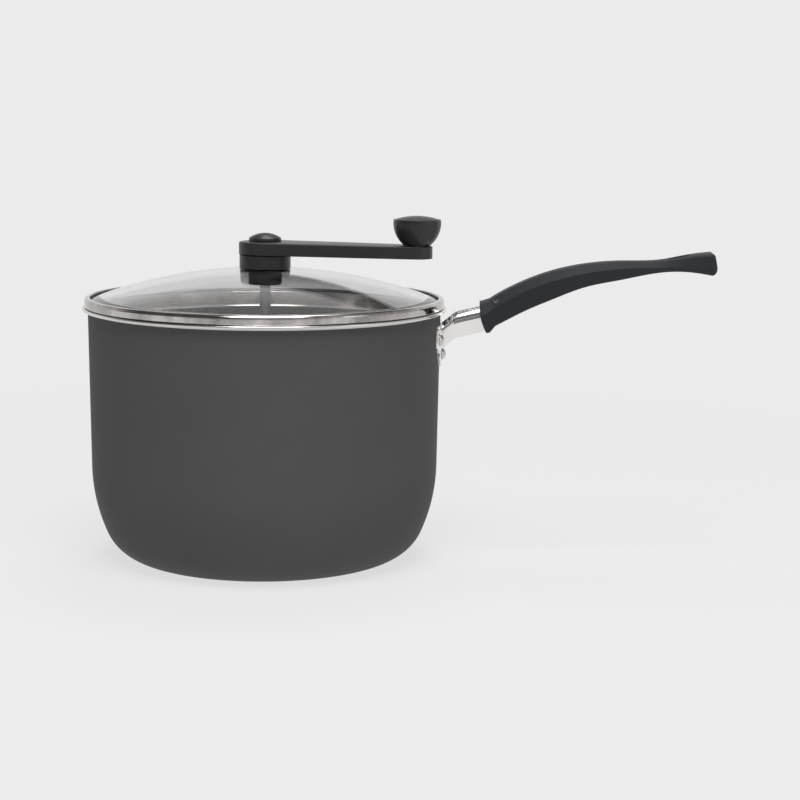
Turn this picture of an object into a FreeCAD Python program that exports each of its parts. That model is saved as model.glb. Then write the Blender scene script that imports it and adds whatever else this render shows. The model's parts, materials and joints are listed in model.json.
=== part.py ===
import FreeCAD, Part
import math
import os
import Sketcher
from types import SimpleNamespace

# Stovetop popcorn popper: a pressed pan with a riveted handle, a framed glass lid that lifts out,
# and a hand crank through the lid that turns an agitator just above the pan's floor.
# Millimetres. The origin is on the pan's axis, on the surface the pan stands on; +Z is up and the
# handle points along +X.

Vector = FreeCAD.Vector
Rotation = FreeCAD.Rotation

SIZES = {
    # pan: one pressed sheet, a flat floor, a tight heel, a slack flank and a nearly straight wall
    "pot_height": 175.0,
    "pot_wall": 2.2,
    "base_radius": 80.0,
    "heel_radius": 32.6,
    "flank_radius": 118.0,
    "flank_turn": 23.6,
    "wall_taper": 0.82,
    "lip_width": 3.8,
    "lip_rounding": 0.8,
    "neck_rounding": 0.8,
    "mouth_rounding": 1.6,
    # lid frame: one rolled band that holds the glass, with a skirt that centres it in the pan
    "lid_seat_gap": 0.3,
    "band_sheet": 0.8,
    "hem_height": 1.4946,
    "band_setback": 1.4,
    "band_lap": 3.9,
    "skirt_gap": 1.0,
    "skirt_depth": 12.8,
    "skirt_bead": 2.6,
    "bead_rounding": 1.2,
    "band_rounding": 2.2,
    "band_inner_rounding": 1.2,
    "hem_rounding": 0.7,
    "fold_rounding": 0.4,
    "seal_thickness": 0.7,
    "seal_lip": 0.15,
    # glass
    "glass_radius": 340.0,
    "glass_edge_height": 1.7609,
    "glass_thickness": 3.8,
    "glass_hole_clearance": 0.5,
    # hub that carries the crank shaft through the glass
    "fit_gap": 0.05,
    "run_gap": 0.05,
    "shaft_radius": 3.75,
    "bush_wall": 1.2,
    "bush_flange": 1.6,
    "bush_flange_thickness": 1.0,
    "spigot_wall": 2.0,
    "hub_radius": 17.6,
    "hub_height": 9.1,
    "hub_skirt_wall": 4.1,
    "hub_edge": 0.6,
    "hub_foot_gap": 0.25,
    "small_edge": 0.4,
    "hub_gasket_play": 0.3,
    "hub_gasket_thickness": 0.9,
    "nut_wall": 4.4,
    "nut_height": 7.7,
    "nut_rounding": 1.6,
    "nut_gasket_setback": 0.5,
    "nut_recess": 0.45,
    "ring_reach": 2.65,
    "ring_thickness": 0.8,
    "ring_groove_depth": 0.7,
    "ring_opening": 70.0,
    "ring_slack": 0.05,
    "spigot_ring_gap": 0.12,
    # crank arm
    "crank_length": 107.6,
    "crank_angle": -12.0,
    "arm_hub_radius": 18.0,
    "arm_end_radius": 10.5,
    "arm_thickness": 8.8,
    "arm_top_rounding": 1.8,
    "arm_bottom_rounding": 0.8,
    "washer_width": 4.2,
    "washer_thickness": 0.4,
    "thrust_gap": 0.1,
    "shaft_end_gap": 0.3,
    "shaft_chamfer": 0.5,
    "tap_depth": 2.0,
    "drive_flat_depth": 0.75,
    "screw_seat_radius": 8.6,
    "screw_seat_depth": 4.1,
    "screw_radius": 1.6,
    "screw_length": 12.0,
    "screw_head_radius": 5.5,
    "screw_head_height": 2.4,
    "cap_radius": 11.1,
    "arm_core_wall": 2.2,
    "arm_core_roof": 2.6,
    "arm_core_hub_gap": 1.6,
    "arm_core_end_gap": 2.2,
    "arm_core_corner": 1.2,
    "arm_core_hub_turn": 30.0,
    "arm_core_end_turn": 45.0,
    "arm_rib": 1.8,
    "cap_rim": 2.2,
    "cap_rise": 3.5,
    "cap_plug_wall": 1.2,
    "cap_plug_depth": 3.3,
    "cap_roof_gap": 0.4,
    "screw_head_rounding": 1.2,
    # knob that spins on its own pin
    "knob_pin_radius": 3.0,
    "knob_pin_head_radius": 5.4,
    "knob_pin_head_height": 2.6,
    "knob_pin_seat_depth": 3.2,
    "knob_pin_seat_play": 0.2,
    "knob_pin_thread_radius": 2.0,
    "thrust_washer_radius": 6.5,
    "thrust_washer_thickness": 0.6,
    "retaining_washer_thickness": 0.5,
    "pin_head_rounding": 0.8,
    "pin_end_length": 0.5,
    "knob_base_radius": 9.5,
    "knob_belly_radius": 16.2,
    "knob_belly_height": 15.8,
    "knob_rim_radius": 15.9,
    "knob_height": 17.2,
    "knob_side_radius": 20.0,
    "knob_rim_width": 0.7,
    "knob_cap_rise": 2.0,
    "knob_cap_edge": 1.9,
    "knob_well_radius": 8.6,
    "knob_well_depth": 4.4,
    "knob_nut_flats": 7.0,
    "knob_nut_height": 2.6,
    "knob_foot_flare": 0.4,
    "knob_foot_height": 0.6,
    # agitator
    "agitator_gap": 1.5,
    "blade_height": 12.0,
    "blade_thickness": 1.5,
    "blade_sweep_radius": 150.0,
    "blade_overrun": 24.3,
    "blade_straight": 12.0,
    "blade_side_share": 0.8,
    "collar_wall": 3.7,
    "collar_lift": 1.0,
    "collar_height": 22.8,
    "collar_foot_rounding": 0.6,
    "collar_shoulder_rounding": 1.2,
    "collar_floor_gap": 0.2,
    "pin_setback": 0.3,
    "shaft_end_lift": 1.1,
    "cross_pin_radius": 1.5,
    "set_screw_radius": 2.0,
    "set_screw_lift": 5.2,
    "set_screw_seat": 6.0,
    "set_screw_flat": 0.5,
    "set_screw_gap": 0.02,
    # handle bracket: a flange riveted to the wall and a channel with a rounded back
    "flange_sheet": 1.6,
    "flange_drop": 10.0,
    "flange_side": 15.0,
    "flange_height": 29.5,
    "flange_half_width": 21.5,
    "flange_tip_half_width": 8.0,
    "flange_corner": 3.0,
    "flange_shoulder_corner": 8.0,
    "flange_tip_corner": 5.0,
    "stem_sheet": 1.5,
    "stem_width": 13.0,
    "stem_skirt_step": 1.3,
    "stem_back_side": 1.9,
    "stem_back_flat": 0.6,
    "stem_height": 18.0,
    "stem_root_drop": 0.6,
    "stem_knee_reach": 10.24,
    "stem_knee_rise": 8.6,
    "stem_slope": 13.5,
    "stem_knee_rounding": 8.0,
    "stem_knee_inner": 4.0,
    "stem_skirt_reach": 2.0,
    "stem_root_depth": 3.0,
    "stem_wall_play": 0.4,
    "tongue_knee_run": 21.6,
    "tongue_slope": 23.0,
    "tongue_run": 36.0,
    "tongue_bend_rounding": 12.0,
    # rivets
    "rivet_shank_radius": 2.5,
    "rivet_head_radius": 4.4,
    "rivet_head_height": 2.8,
    "rivet_tail_radius": 4.6,
    "rivet_tail_height": 1.4,
    "rivet_clearance": 0.12,
    "rivet_tail_rounding": 0.5,
    "rivet_reach": 12.0,
    "upper_rivet_drop": 10.0,
    "upper_rivet_spread": 8.0,
    "lower_rivet_drop": 21.5,
    # grip: stations along a spine that climbs, bends over and runs out level
    "grip_lap": 2.4,
    "grip_start_drop": 8.21,
    "grip_mouth_radius": 41.0,
    "grip_mouth_overrun": 2.0,
    "grip_mouth_spread": 45.0,
    "grip_lip_length": 2.4,
    "grip_collar_climb": 18.0,
    "grip_collar_length": 7.0,
    "grip_climb": 30.3,
    "grip_shank_length": 25.7,
    "grip_bend_radius": 184.0,
    "grip_bend_start": 28.0,
    "grip_bend_end": 4.8,
    "grip_waist_length": 29.5,
    "grip_tail_climb": 6.2,
    "grip_tail_length": 18.0,
    "grip_end_climb": 0.4,
    "grip_end_length": 19.4,
    "mouth_back": 10.6,
    "collar_back": 10.5,
    "belly_back": 8.7,
    "palm_back": 8.25,
    "finger_back": 7.15,
    "wrist_back": 5.85,
    "waist_back": 4.0,
    "tail_back": 5.4,
    "end_back": 7.35,
    "mouth_under": 10.8,
    "collar_under": 7.9,
    "belly_under": 9.95,
    "palm_under": 10.05,
    "finger_under": 8.15,
    "wrist_under": 6.75,
    "waist_under": 4.3,
    "tail_under": 5.95,
    "end_under": 8.7,
    "mouth_crease": 2.6,
    "collar_crease": 3.8,
    "belly_crease": 2.45,
    "palm_crease": 2.25,
    "finger_crease": 1.4,
    "wrist_crease": 1.1,
    "waist_crease": -1.3,
    "tail_crease": -2.8,
    "end_crease": -6.3,
    "mouth_width": 27.0,
    "collar_width": 25.4,
    "belly_width": 25.0,
    "palm_width": 25.0,
    "finger_width": 24.0,
    "wrist_width": 21.5,
    "waist_width": 18.5,
    "tail_width": 22.5,
    "end_width": 30.0,
    "mouth_flat": 0.34,
    "collar_flat": 0.32,
    "grip_flat": 0.30,
    "waist_flat": 0.36,
    "tail_flat": 0.40,
    "end_flat": 0.42,
    "grip_crease_rounding": 1.0,
    "grip_back_rounding": 2.4,
    "end_upper_corner": 2.0,
    "end_lower_corner": 5.0,
    "end_upper_setback": 3.6,
    "end_lower_setback": 0.1,
    "end_lower_trim": 0.7,
    "end_side_corner": 9.0,
    "end_side_setback": 0.1,
    "mouth_reach": 12.0,
    "socket_clearance": 0.2,
    "hang_slot_setback": 34.4,
    "hang_slot_length": 15.0,
    "hang_slot_width": 8.0,
    "grip_end_sag": 0.25,
    "grip_screw_reach": 6.4,
    "grip_screw_lift": 38.0,
    "grip_screw_radius": 2.2,
    "grip_screw_length": 3.6,
    "grip_screw_key": 2.4,
    "grip_screw_key_depth": 1.2,
}


class Size:
    """A length or an angle together with the sheet expression that gives it."""

    def __init__(self, value, text=None):
        self.value = float(value)
        plain = f"{self.value:.6g}"
        self.text = text or (plain if self.value >= 0 else f"({plain})")

    def __add__(self, other):
        other = size(other)
        return Size(self.value + other.value, f"({self.text} + {other.text})")

    def __radd__(self, other):
        return size(other) + self

    def __sub__(self, other):
        other = size(other)
        return Size(self.value - other.value, f"({self.text} - {other.text})")

    def __rsub__(self, other):
        return size(other) - self

    def __mul__(self, other):
        other = size(other)
        return Size(self.value * other.value, f"({self.text} * {other.text})")

    def __rmul__(self, other):
        return size(other) * self

    def __truediv__(self, other):
        other = size(other)
        return Size(self.value / other.value, f"({self.text} / {other.text})")

    def __neg__(self):
        return size(0) - self

    def bound(self):
        """True when the size hangs on a cell of the sheet."""
        return "Sizes." in self.text


def size(number):
    """A plain number as a Size."""
    return number if isinstance(number, Size) else Size(number)


def sin(angle):
    """Sine of an angle in degrees."""
    return Size(math.sin(math.radians(angle.value)), f"sin({angle.text})")


def cos(angle):
    """Cosine of an angle in degrees."""
    return Size(math.cos(math.radians(angle.value)), f"cos({angle.text})")


def tan(angle):
    """Tangent of an angle in degrees."""
    return sin(angle) / cos(angle)


def sqrt(number):
    """Square root."""
    return Size(math.sqrt(number.value), f"sqrt({number.text})")


doc = FreeCAD.newDocument("PopcornPopper")
sheet = doc.addObject("Spreadsheet::Sheet", "Sizes")
for row, (name, number) in enumerate(SIZES.items(), start=1):
    sheet.set(f"A{row}", name)
    sheet.set(f"B{row}", str(number))
    sheet.setAlias(f"B{row}", name)
doc.recompute()

S = SimpleNamespace(**{name: Size(number, f"Sizes.{name}") for name, number in SIZES.items()})
NODES = []


# ---------------------------------------------------------------- drawing helpers

def at(x, y, fillet=0):
    """A corner of an outline, reached by a straight edge and rounded by a fillet if one is given."""
    return SimpleNamespace(x=size(x), y=size(y), fillet=size(fillet), radius=None, turn=0)


def arc_to(x, y, radius, turn):
    """A corner reached by an arc under half a circle; turn is 1 anticlockwise and -1 clockwise."""
    return SimpleNamespace(x=size(x), y=size(y), fillet=size(0), radius=size(radius), turn=turn)


def unit(dx, dy):
    """The direction of a step."""
    length = math.hypot(dx, dy)
    return dx / length, dy / length


def arc_about(centre, start, end, radius, turn):
    """An arc from start to end; returns it with the numbers of its first and last vertex."""
    first = math.atan2(start[1] - centre[1], start[0] - centre[0])
    last = math.atan2(end[1] - centre[1], end[0] - centre[0])
    if turn < 0:
        first, last = last, first
    if last < first:
        last += 2 * math.pi
    circle = Part.Circle(Vector(centre[0], centre[1], 0), Vector(0, 0, 1), radius)
    return Part.ArcOfCircle(circle, first, last), (1, 2) if turn > 0 else (2, 1)


def draw(sketch, steps):
    """Close an outline; every corner's place and every radius is tied to the sheet."""
    count = len(steps)
    place = [(step.x.value, step.y.value) for step in steps]
    start_of, end_of, fillets = list(place), list(place), {}
    for i, step in enumerate(steps):
        if step.fillet.value <= 0:
            continue
        before, here, after = place[i - 1], place[i], place[(i + 1) % count]
        arrive = unit(here[0] - before[0], here[1] - before[1])
        leave = unit(after[0] - here[0], after[1] - here[1])
        cross = arrive[0] * leave[1] - arrive[1] * leave[0]
        dot = arrive[0] * leave[0] + arrive[1] * leave[1]
        turn = 1 if cross > 0 else -1
        radius = step.fillet.value
        trim = radius * math.tan(abs(math.atan2(cross, dot)) / 2)
        start = (here[0] - arrive[0] * trim, here[1] - arrive[1] * trim)
        end = (here[0] + leave[0] * trim, here[1] + leave[1] * trim)
        centre = (start[0] - arrive[1] * turn * radius, start[1] + arrive[0] * turn * radius)
        end_of[i], start_of[i] = start, end
        fillets[i] = arc_about(centre, start, end, radius, turn)

    items, links, values = [], [], []
    base = len(sketch.Geometry)
    for i, step in enumerate(steps):
        if i in fillets:
            shape, ends = fillets[i]
            items.append((shape, ends, step.fillet, i, "fillet"))
        following = steps[(i + 1) % count]
        start, end = start_of[i], end_of[(i + 1) % count]
        if following.radius is None:
            line = Part.LineSegment(Vector(start[0], start[1], 0), Vector(end[0], end[1], 0))
            items.append((line, (1, 2), None, i, "line"))
        else:
            half = math.dist(start, end) / 2
            radius = following.radius.value
            along = unit(end[0] - start[0], end[1] - start[1])
            reach = math.sqrt(max(radius * radius - half * half, 0)) * following.turn
            centre = ((start[0] + end[0]) / 2 - along[1] * reach,
                      (start[1] + end[1]) / 2 + along[0] * reach)
            shape, ends = arc_about(centre, start, end, radius, following.turn)
            items.append((shape, ends, following.radius, i, "arc"))

    for k, (shape, ends, radius, i, kind) in enumerate(items):
        number, previous = base + k, base + (k - 1) % len(items)
        last = items[k - 1]
        if kind == "fillet" or last[4] == "fillet":
            links.append(Sketcher.Constraint("Tangent", previous, last[1][1], number, ends[0]))
        else:
            links.append(Sketcher.Constraint("Coincident", previous, last[1][1], number, ends[0]))
            values.append((number, ends[0], steps[i]))
        if radius is not None:
            links.append((Sketcher.Constraint("Radius", number, radius.value), radius))
    sketch.addGeometry([item[0] for item in items], False)
    for k, (shape, ends, radius, i, kind) in enumerate(items):
        if kind == "fillet":
            corner = sketch.addGeometry(Part.Point(Vector(place[i][0], place[i][1], 0)), True)
            links.append(Sketcher.Constraint("PointOnObject", corner, 1, base + (k - 1) % len(items)))
            links.append(Sketcher.Constraint("PointOnObject", corner, 1, base + (k + 1) % len(items)))
            values.append((corner, 1, steps[i]))
    for number, vertex, step in values:
        for axis, kind, amount in ((-2, "DistanceX", step.x), (-1, "DistanceY", step.y)):
            if amount.value == 0:
                links.append(Sketcher.Constraint("PointOnObject", number, vertex, axis))
            else:
                tie = Sketcher.Constraint(kind, -1, 1, number, vertex, amount.value)
                links.append((tie, amount))
    constrain(sketch, links)


def constrain(sketch, links):
    """Add constraints; each one given with a size is bound to that size's expression."""
    first = sketch.ConstraintCount
    sketch.addConstraint([link[0] if isinstance(link, tuple) else link for link in links])
    for offset, link in enumerate(links):
        if isinstance(link, tuple) and link[1].bound():
            sketch.setExpression(f"Constraints[{first + offset}]", link[1].text)


def hexagon(flat):
    """Corners of a hexagon by the distance from its middle to a flat."""
    corner = flat / cos(size(30))
    turns = [size(60 * i) for i in range(6)]
    return [at(corner * cos(turn), corner * sin(turn)) for turn in turns]


def draw_circle(sketch, x, y, radius):
    """A circle whose centre and radius are tied to the sheet."""
    x, y, radius = size(x), size(y), size(radius)
    circle = Part.Circle(Vector(x.value, y.value, 0), Vector(0, 0, 1), radius.value)
    number = sketch.addGeometry(circle, False)
    links = [(Sketcher.Constraint("Radius", number, radius.value), radius)]
    for axis, kind, amount in ((-2, "DistanceX", x), (-1, "DistanceY", y)):
        if amount.value == 0:
            links.append(Sketcher.Constraint("PointOnObject", number, 3, axis))
        else:
            links.append((Sketcher.Constraint(kind, -1, 1, number, 3, amount.value), amount))
    constrain(sketch, links)


def bind(item, path, amount):
    """Set one property of an object from a size."""
    amount = size(amount)
    if amount.bound():
        item.setExpression(path, amount.text)
        return
    *holders, last = path.split(".")
    if holders:
        placement = getattr(item, holders[0])
        base = placement.Base
        setattr(base, last, amount.value)
        placement.Base = base
        setattr(item, holders[0], placement)
    else:
        setattr(item, last, amount.value)


def new_body(name):
    """An empty body for one piece."""
    body = doc.addObject("PartDesign::Body", name)
    body.Label = name
    return body


def sketch_on(body, plane, height=0):
    """A sketch on one of the body's own origin planes, raised along the plane's normal."""
    sketch = body.newObject("Sketcher::SketchObject", f"{body.Name}_outline")
    support = next(item for item in body.Origin.OriginFeatures if item.Role == f"{plane}_Plane")
    sketch.AttachmentSupport = [(support, "")]
    sketch.MapMode = "FlatFace"
    bind(sketch, "AttachmentOffset.Base.z", height)
    return sketch


def revolve(body, steps, cut=False, angle=360):
    """Turn an outline of (radius, height) corners about the body's Z axis."""
    sketch = sketch_on(body, "XZ")
    draw(sketch, steps)
    kind = "PartDesign::Groove" if cut else "PartDesign::Revolution"
    feature = body.newObject(kind, f"{body.Name}_turned")
    feature.Profile = sketch
    feature.ReferenceAxis = (sketch, ["V_Axis"])
    bind(feature, "Angle", angle)
    if size(angle).value < 360:
        feature.Midplane = True
    sketch.Visibility = False
    return feature


def turned(name, steps, angle=360):
    """A piece that is one turned or revolved solid."""
    body = new_body(name)
    revolve(body, steps, angle=angle)
    return keep(body)


def extrude(body, sketch, length=None, cut=False, both=False, up=False):
    """Pad or pocket a sketch; with no length a pocket goes right through, both ways."""
    feature = body.newObject("PartDesign::Pocket" if cut else "PartDesign::Pad", f"{body.Name}_cut")
    feature.Profile = sketch
    if length is None:
        feature.Type = "ThroughAll"
        feature.SideType = "Symmetric"
    else:
        bind(feature, "Length", length)
        if both:
            feature.SideType = "Symmetric"
        feature.Reversed = up
    sketch.Visibility = False
    return feature


def keep(item):
    """List a finished piece as a node of the model."""
    NODES.append(item)
    return item


def place_radially(item, azimuth, height, reach=0):
    """Point an item's Z axis straight out of the pan's wall."""
    azimuth, height, reach = size(azimuth), size(height), size(reach)
    item.Placement = FreeCAD.Placement(
        Vector(reach.value * math.cos(math.radians(azimuth.value)),
               reach.value * math.sin(math.radians(azimuth.value)), height.value),
        Rotation(Vector(0, 0, 1), azimuth.value) * Rotation(Vector(0, 1, 0), 90))
    bind(item, "Placement.Base.z", height)
    if reach.value:
        bind(item, "Placement.Base.x", reach * cos(azimuth))
        bind(item, "Placement.Base.y", reach * sin(azimuth))


def drill(body, azimuth, height):
    """A rivet hole along a radius of the pan, through whatever stands at the wall."""
    hole = body.newObject("PartDesign::SubtractiveCylinder", f"{body.Name}_hole")
    bind(hole, "Radius", S.rivet_shank_radius + S.fit_gap)
    bind(hole, "Height", 2 * S.rivet_reach)
    place_radially(hole, azimuth, height, MOUTH_RADIUS - S.rivet_reach)


def edges_where(feature, test):
    """Names of a feature's edges that pass a test."""
    return [f"Edge{i}" for i, edge in enumerate(feature.Shape.Edges, start=1) if test(edge)]


def round_edges(body, feature, radius, test):
    """Fillet the edges of a feature that pass a test."""
    doc.recompute()
    fillet = body.newObject("PartDesign::Fillet", f"{body.Name}_fillet")
    fillet.Base = (feature, edges_where(feature, test))
    bind(fillet, "Radius", radius)
    doc.recompute()
    return fillet


# ---------------------------------------------------------------- shared places

CLOSE = 0.01
PROBE = 0.2

FLANK_X = S.base_radius + (S.heel_radius - S.flank_radius) * cos(S.flank_turn)
FLANK_Z = S.heel_radius - (S.heel_radius - S.flank_radius) * sin(S.flank_turn)


def heel_point(inset, turn):
    """A point on the heel arc, offset inwards from the pan's outside."""
    reach = S.heel_radius - inset
    return S.base_radius + reach * cos(turn), S.heel_radius - reach * sin(turn)


def flank_point(inset, turn):
    """A point on the flank arc, offset inwards from the pan's outside."""
    reach = S.flank_radius - inset
    return FLANK_X + reach * cos(turn), FLANK_Z - reach * sin(turn)


def wall_radius(height, inset=0):
    """Radius of the straight wall at a height."""
    start_x, start_z = flank_point(inset, S.wall_taper)
    return start_x + (height - start_z) * tan(S.wall_taper)


MOUTH_RADIUS = wall_radius(S.pot_height, S.pot_wall)
LIP_RADIUS = wall_radius(S.pot_height - S.pot_wall) + S.lip_width

LID_SEAT = S.pot_height + S.lid_seat_gap
BAND_RADIUS = LIP_RADIUS - S.band_setback
SKIRT_RADIUS = MOUTH_RADIUS - S.skirt_gap
SKIRT_BOTTOM = LID_SEAT - S.skirt_depth
SEAL_FLOOR = LID_SEAT + S.band_sheet
GLASS_EDGE = BAND_RADIUS - S.band_sheet - S.seal_thickness - S.fit_gap
GLASS_SEAT = SEAL_FLOOR + S.seal_thickness + S.fit_gap
GLASS_RIM = GLASS_SEAT + S.glass_edge_height
GLASS_CENTRE = GLASS_RIM - sqrt(S.glass_radius * S.glass_radius - GLASS_EDGE * GLASS_EDGE)
GLASS_APEX = GLASS_CENTRE + S.glass_radius


def glass_top(radius, clear=0):
    """Height of the glass dome's outside at a radius, with a clearance above it."""
    reach = S.glass_radius + clear
    return GLASS_CENTRE + sqrt(reach * reach - radius * radius)


def glass_under(radius, clear=0):
    """Height of the glass dome's inside at a radius, with a clearance below it."""
    reach = S.glass_radius - S.glass_thickness - clear
    return GLASS_CENTRE + sqrt(reach * reach - radius * radius)


HEM_BOTTOM = glass_top(BAND_RADIUS - S.band_lap) + S.seal_thickness
BAND_TOP = HEM_BOTTOM + S.hem_height

BUSH_BORE = S.shaft_radius + S.run_gap
BUSH_RADIUS = BUSH_BORE + S.bush_wall
SPIGOT_BORE = BUSH_RADIUS + S.fit_gap
SPIGOT_RADIUS = SPIGOT_BORE + S.spigot_wall
GLASS_HOLE = SPIGOT_RADIUS + S.glass_hole_clearance
HUB_UNDERSIDE = GLASS_APEX + S.hub_gasket_thickness
HUB_TOP = GLASS_APEX + S.hub_height
NUT_RADIUS = SPIGOT_RADIUS + S.fit_gap + S.nut_wall
NUT_TOP = GLASS_APEX - S.glass_thickness - S.hub_gasket_thickness
NUT_BOTTOM = NUT_TOP - S.nut_height
RING_BOTTOM = NUT_BOTTOM + S.nut_recess
SPIGOT_END = RING_BOTTOM + S.ring_thickness + S.spigot_ring_gap
DRIVE_FLAT = S.shaft_radius - S.drive_flat_depth

ARM_BOTTOM = HUB_TOP + S.washer_thickness + S.thrust_gap
ARM_TOP = ARM_BOTTOM + S.arm_thickness
SCREW_SEAT = ARM_TOP - S.screw_seat_depth
SHAFT_TOP = SCREW_SEAT - S.shaft_end_gap

KNOB_BASE = ARM_TOP + S.thrust_washer_thickness + S.thrust_gap
KNOB_RIM = KNOB_BASE + S.knob_height
KNOB_CAP_FLOOR = KNOB_RIM - S.knob_cap_edge
KNOB_WELL_FLOOR = KNOB_CAP_FLOOR - S.knob_well_depth
KNOB_X = S.crank_length * cos(S.crank_angle)
KNOB_Y = S.crank_length * sin(S.crank_angle)

BLADE_BOTTOM = S.pot_wall + S.agitator_gap
BLADE_TOP = BLADE_BOTTOM + S.blade_height
SHAFT_END = BLADE_TOP + S.shaft_end_lift
COLLAR_BOTTOM = BLADE_BOTTOM + S.collar_lift
COLLAR_TOP = COLLAR_BOTTOM + S.collar_height
COLLAR_RADIUS = S.shaft_radius + S.fit_gap + S.collar_wall
SET_SCREW_HEIGHT = SHAFT_END + S.set_screw_lift

FLANGE_TOP = S.pot_height - S.flange_drop
FLANGE_TIP = FLANGE_TOP - S.flange_height
STEM_BACK_ROUNDING = S.stem_width / 2 - S.stem_back_flat
STEM_BACK_HEIGHT = STEM_BACK_ROUNDING + S.stem_back_side
STEM_SKIRT_WIDTH = S.stem_width - 2 * S.stem_skirt_step
STEM_ROOT = FLANGE_TOP - S.stem_root_drop
KNEE_X = wall_radius(FLANGE_TOP) + S.stem_knee_reach
KNEE_HEIGHT = STEM_ROOT + S.stem_knee_rise
TONGUE_X = KNEE_X + S.tongue_knee_run
TONGUE_HEIGHT = KNEE_HEIGHT + S.tongue_knee_run * tan(S.stem_slope)
TONGUE_END_X = TONGUE_X + S.tongue_run
TONGUE_END_HEIGHT = TONGUE_HEIGHT + S.tongue_run * tan(S.tongue_slope)
GRIP_X = TONGUE_X - S.grip_lap
GRIP_HEIGHT = TONGUE_HEIGHT - S.grip_lap * tan(S.stem_slope) - S.grip_start_drop
RIVETS = {
    "handle_rivet_left": (S.upper_rivet_spread, FLANGE_TOP - S.upper_rivet_drop),
    "handle_rivet_right": (-S.upper_rivet_spread, FLANGE_TOP - S.upper_rivet_drop),
    "handle_rivet_lower": (size(0), FLANGE_TOP - S.lower_rivet_drop),
}


def on_crank(body, x=0, y=0):
    """Turn a piece to the crank's rest angle and set it over a point of the plan."""
    bind(body, "Placement.Base.x", x)
    bind(body, "Placement.Base.y", y)
    body.setExpression("Placement.Rotation.Angle", S.crank_angle.text)
    return body


# ---------------------------------------------------------------- pan

def make_pot():
    """The pan: one sheet of even thickness, with a lip flanged outwards and three rivet holes."""
    body = new_body("pot_body")
    wall_top = S.pot_height - S.pot_wall
    inner_heel = S.heel_radius - S.pot_wall
    inner_flank = S.flank_radius - S.pot_wall
    revolve(body, [
        at(0, 0),
        at(S.base_radius, 0),
        arc_to(*heel_point(0, S.flank_turn), S.heel_radius, 1),
        arc_to(*flank_point(0, S.wall_taper), S.flank_radius, 1),
        at(wall_radius(wall_top), wall_top, S.neck_rounding),
        at(LIP_RADIUS, wall_top, S.lip_rounding),
        at(LIP_RADIUS, S.pot_height, S.lip_rounding),
        at(MOUTH_RADIUS, S.pot_height, S.mouth_rounding),
        at(*flank_point(S.pot_wall, S.wall_taper)),
        arc_to(*heel_point(S.pot_wall, S.flank_turn), inner_flank, -1),
        arc_to(S.base_radius, S.pot_wall, inner_heel, -1),
        at(0, S.pot_wall),
    ])
    for azimuth, height in RIVETS.values():
        drill(body, azimuth, height)
    keep(body)


def make_rivets():
    """Three rivets: domed heads outside the flange, flat tails inside the pan."""
    for name, (azimuth, height) in RIVETS.items():
        inside = wall_radius(height, S.pot_wall) - S.rivet_clearance
        outside = wall_radius(height) + S.flange_sheet + S.rivet_clearance
        crown = S.rivet_head_height
        dome = (S.rivet_head_radius * S.rivet_head_radius + crown * crown) / (2 * crown)
        body = turned(name, [
            at(0, inside - S.rivet_tail_height),
            at(S.rivet_tail_radius, inside - S.rivet_tail_height, S.rivet_tail_rounding),
            at(S.rivet_tail_radius, inside),
            at(S.rivet_shank_radius, inside),
            at(S.rivet_shank_radius, outside),
            at(S.rivet_head_radius, outside),
            arc_to(0, outside + crown, dome, 1),
        ])
        place_radially(body, azimuth, height)


def shield():
    """Corners of the flange seen along the handle: across and up."""
    side, tip = S.flange_half_width, S.flange_tip_half_width
    shoulder = FLANGE_TOP - S.flange_side
    return [
        at(-side, FLANGE_TOP, S.flange_corner),
        at(-side, shoulder, S.flange_shoulder_corner),
        at(-tip, FLANGE_TIP, S.flange_tip_corner),
        at(tip, FLANGE_TIP, S.flange_tip_corner),
        at(side, shoulder, S.flange_shoulder_corner),
        at(side, FLANGE_TOP, S.flange_corner),
    ]


def stem_back(start_x):
    """Side outline of the stem's rounded back, from the wall out to the end of the tongue."""
    drop, bend = STEM_BACK_HEIGHT, S.tongue_bend_rounding
    return [
        at(start_x, STEM_ROOT - drop),
        at(KNEE_X, KNEE_HEIGHT - drop, S.stem_knee_inner),
        at(TONGUE_X, TONGUE_HEIGHT - drop, bend),
        at(TONGUE_END_X, TONGUE_END_HEIGHT - drop),
        at(TONGUE_END_X, TONGUE_END_HEIGHT),
        at(TONGUE_X, TONGUE_HEIGHT, bend),
        at(KNEE_X, KNEE_HEIGHT, S.stem_knee_rounding),
        at(start_x, STEM_ROOT),
    ]


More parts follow.
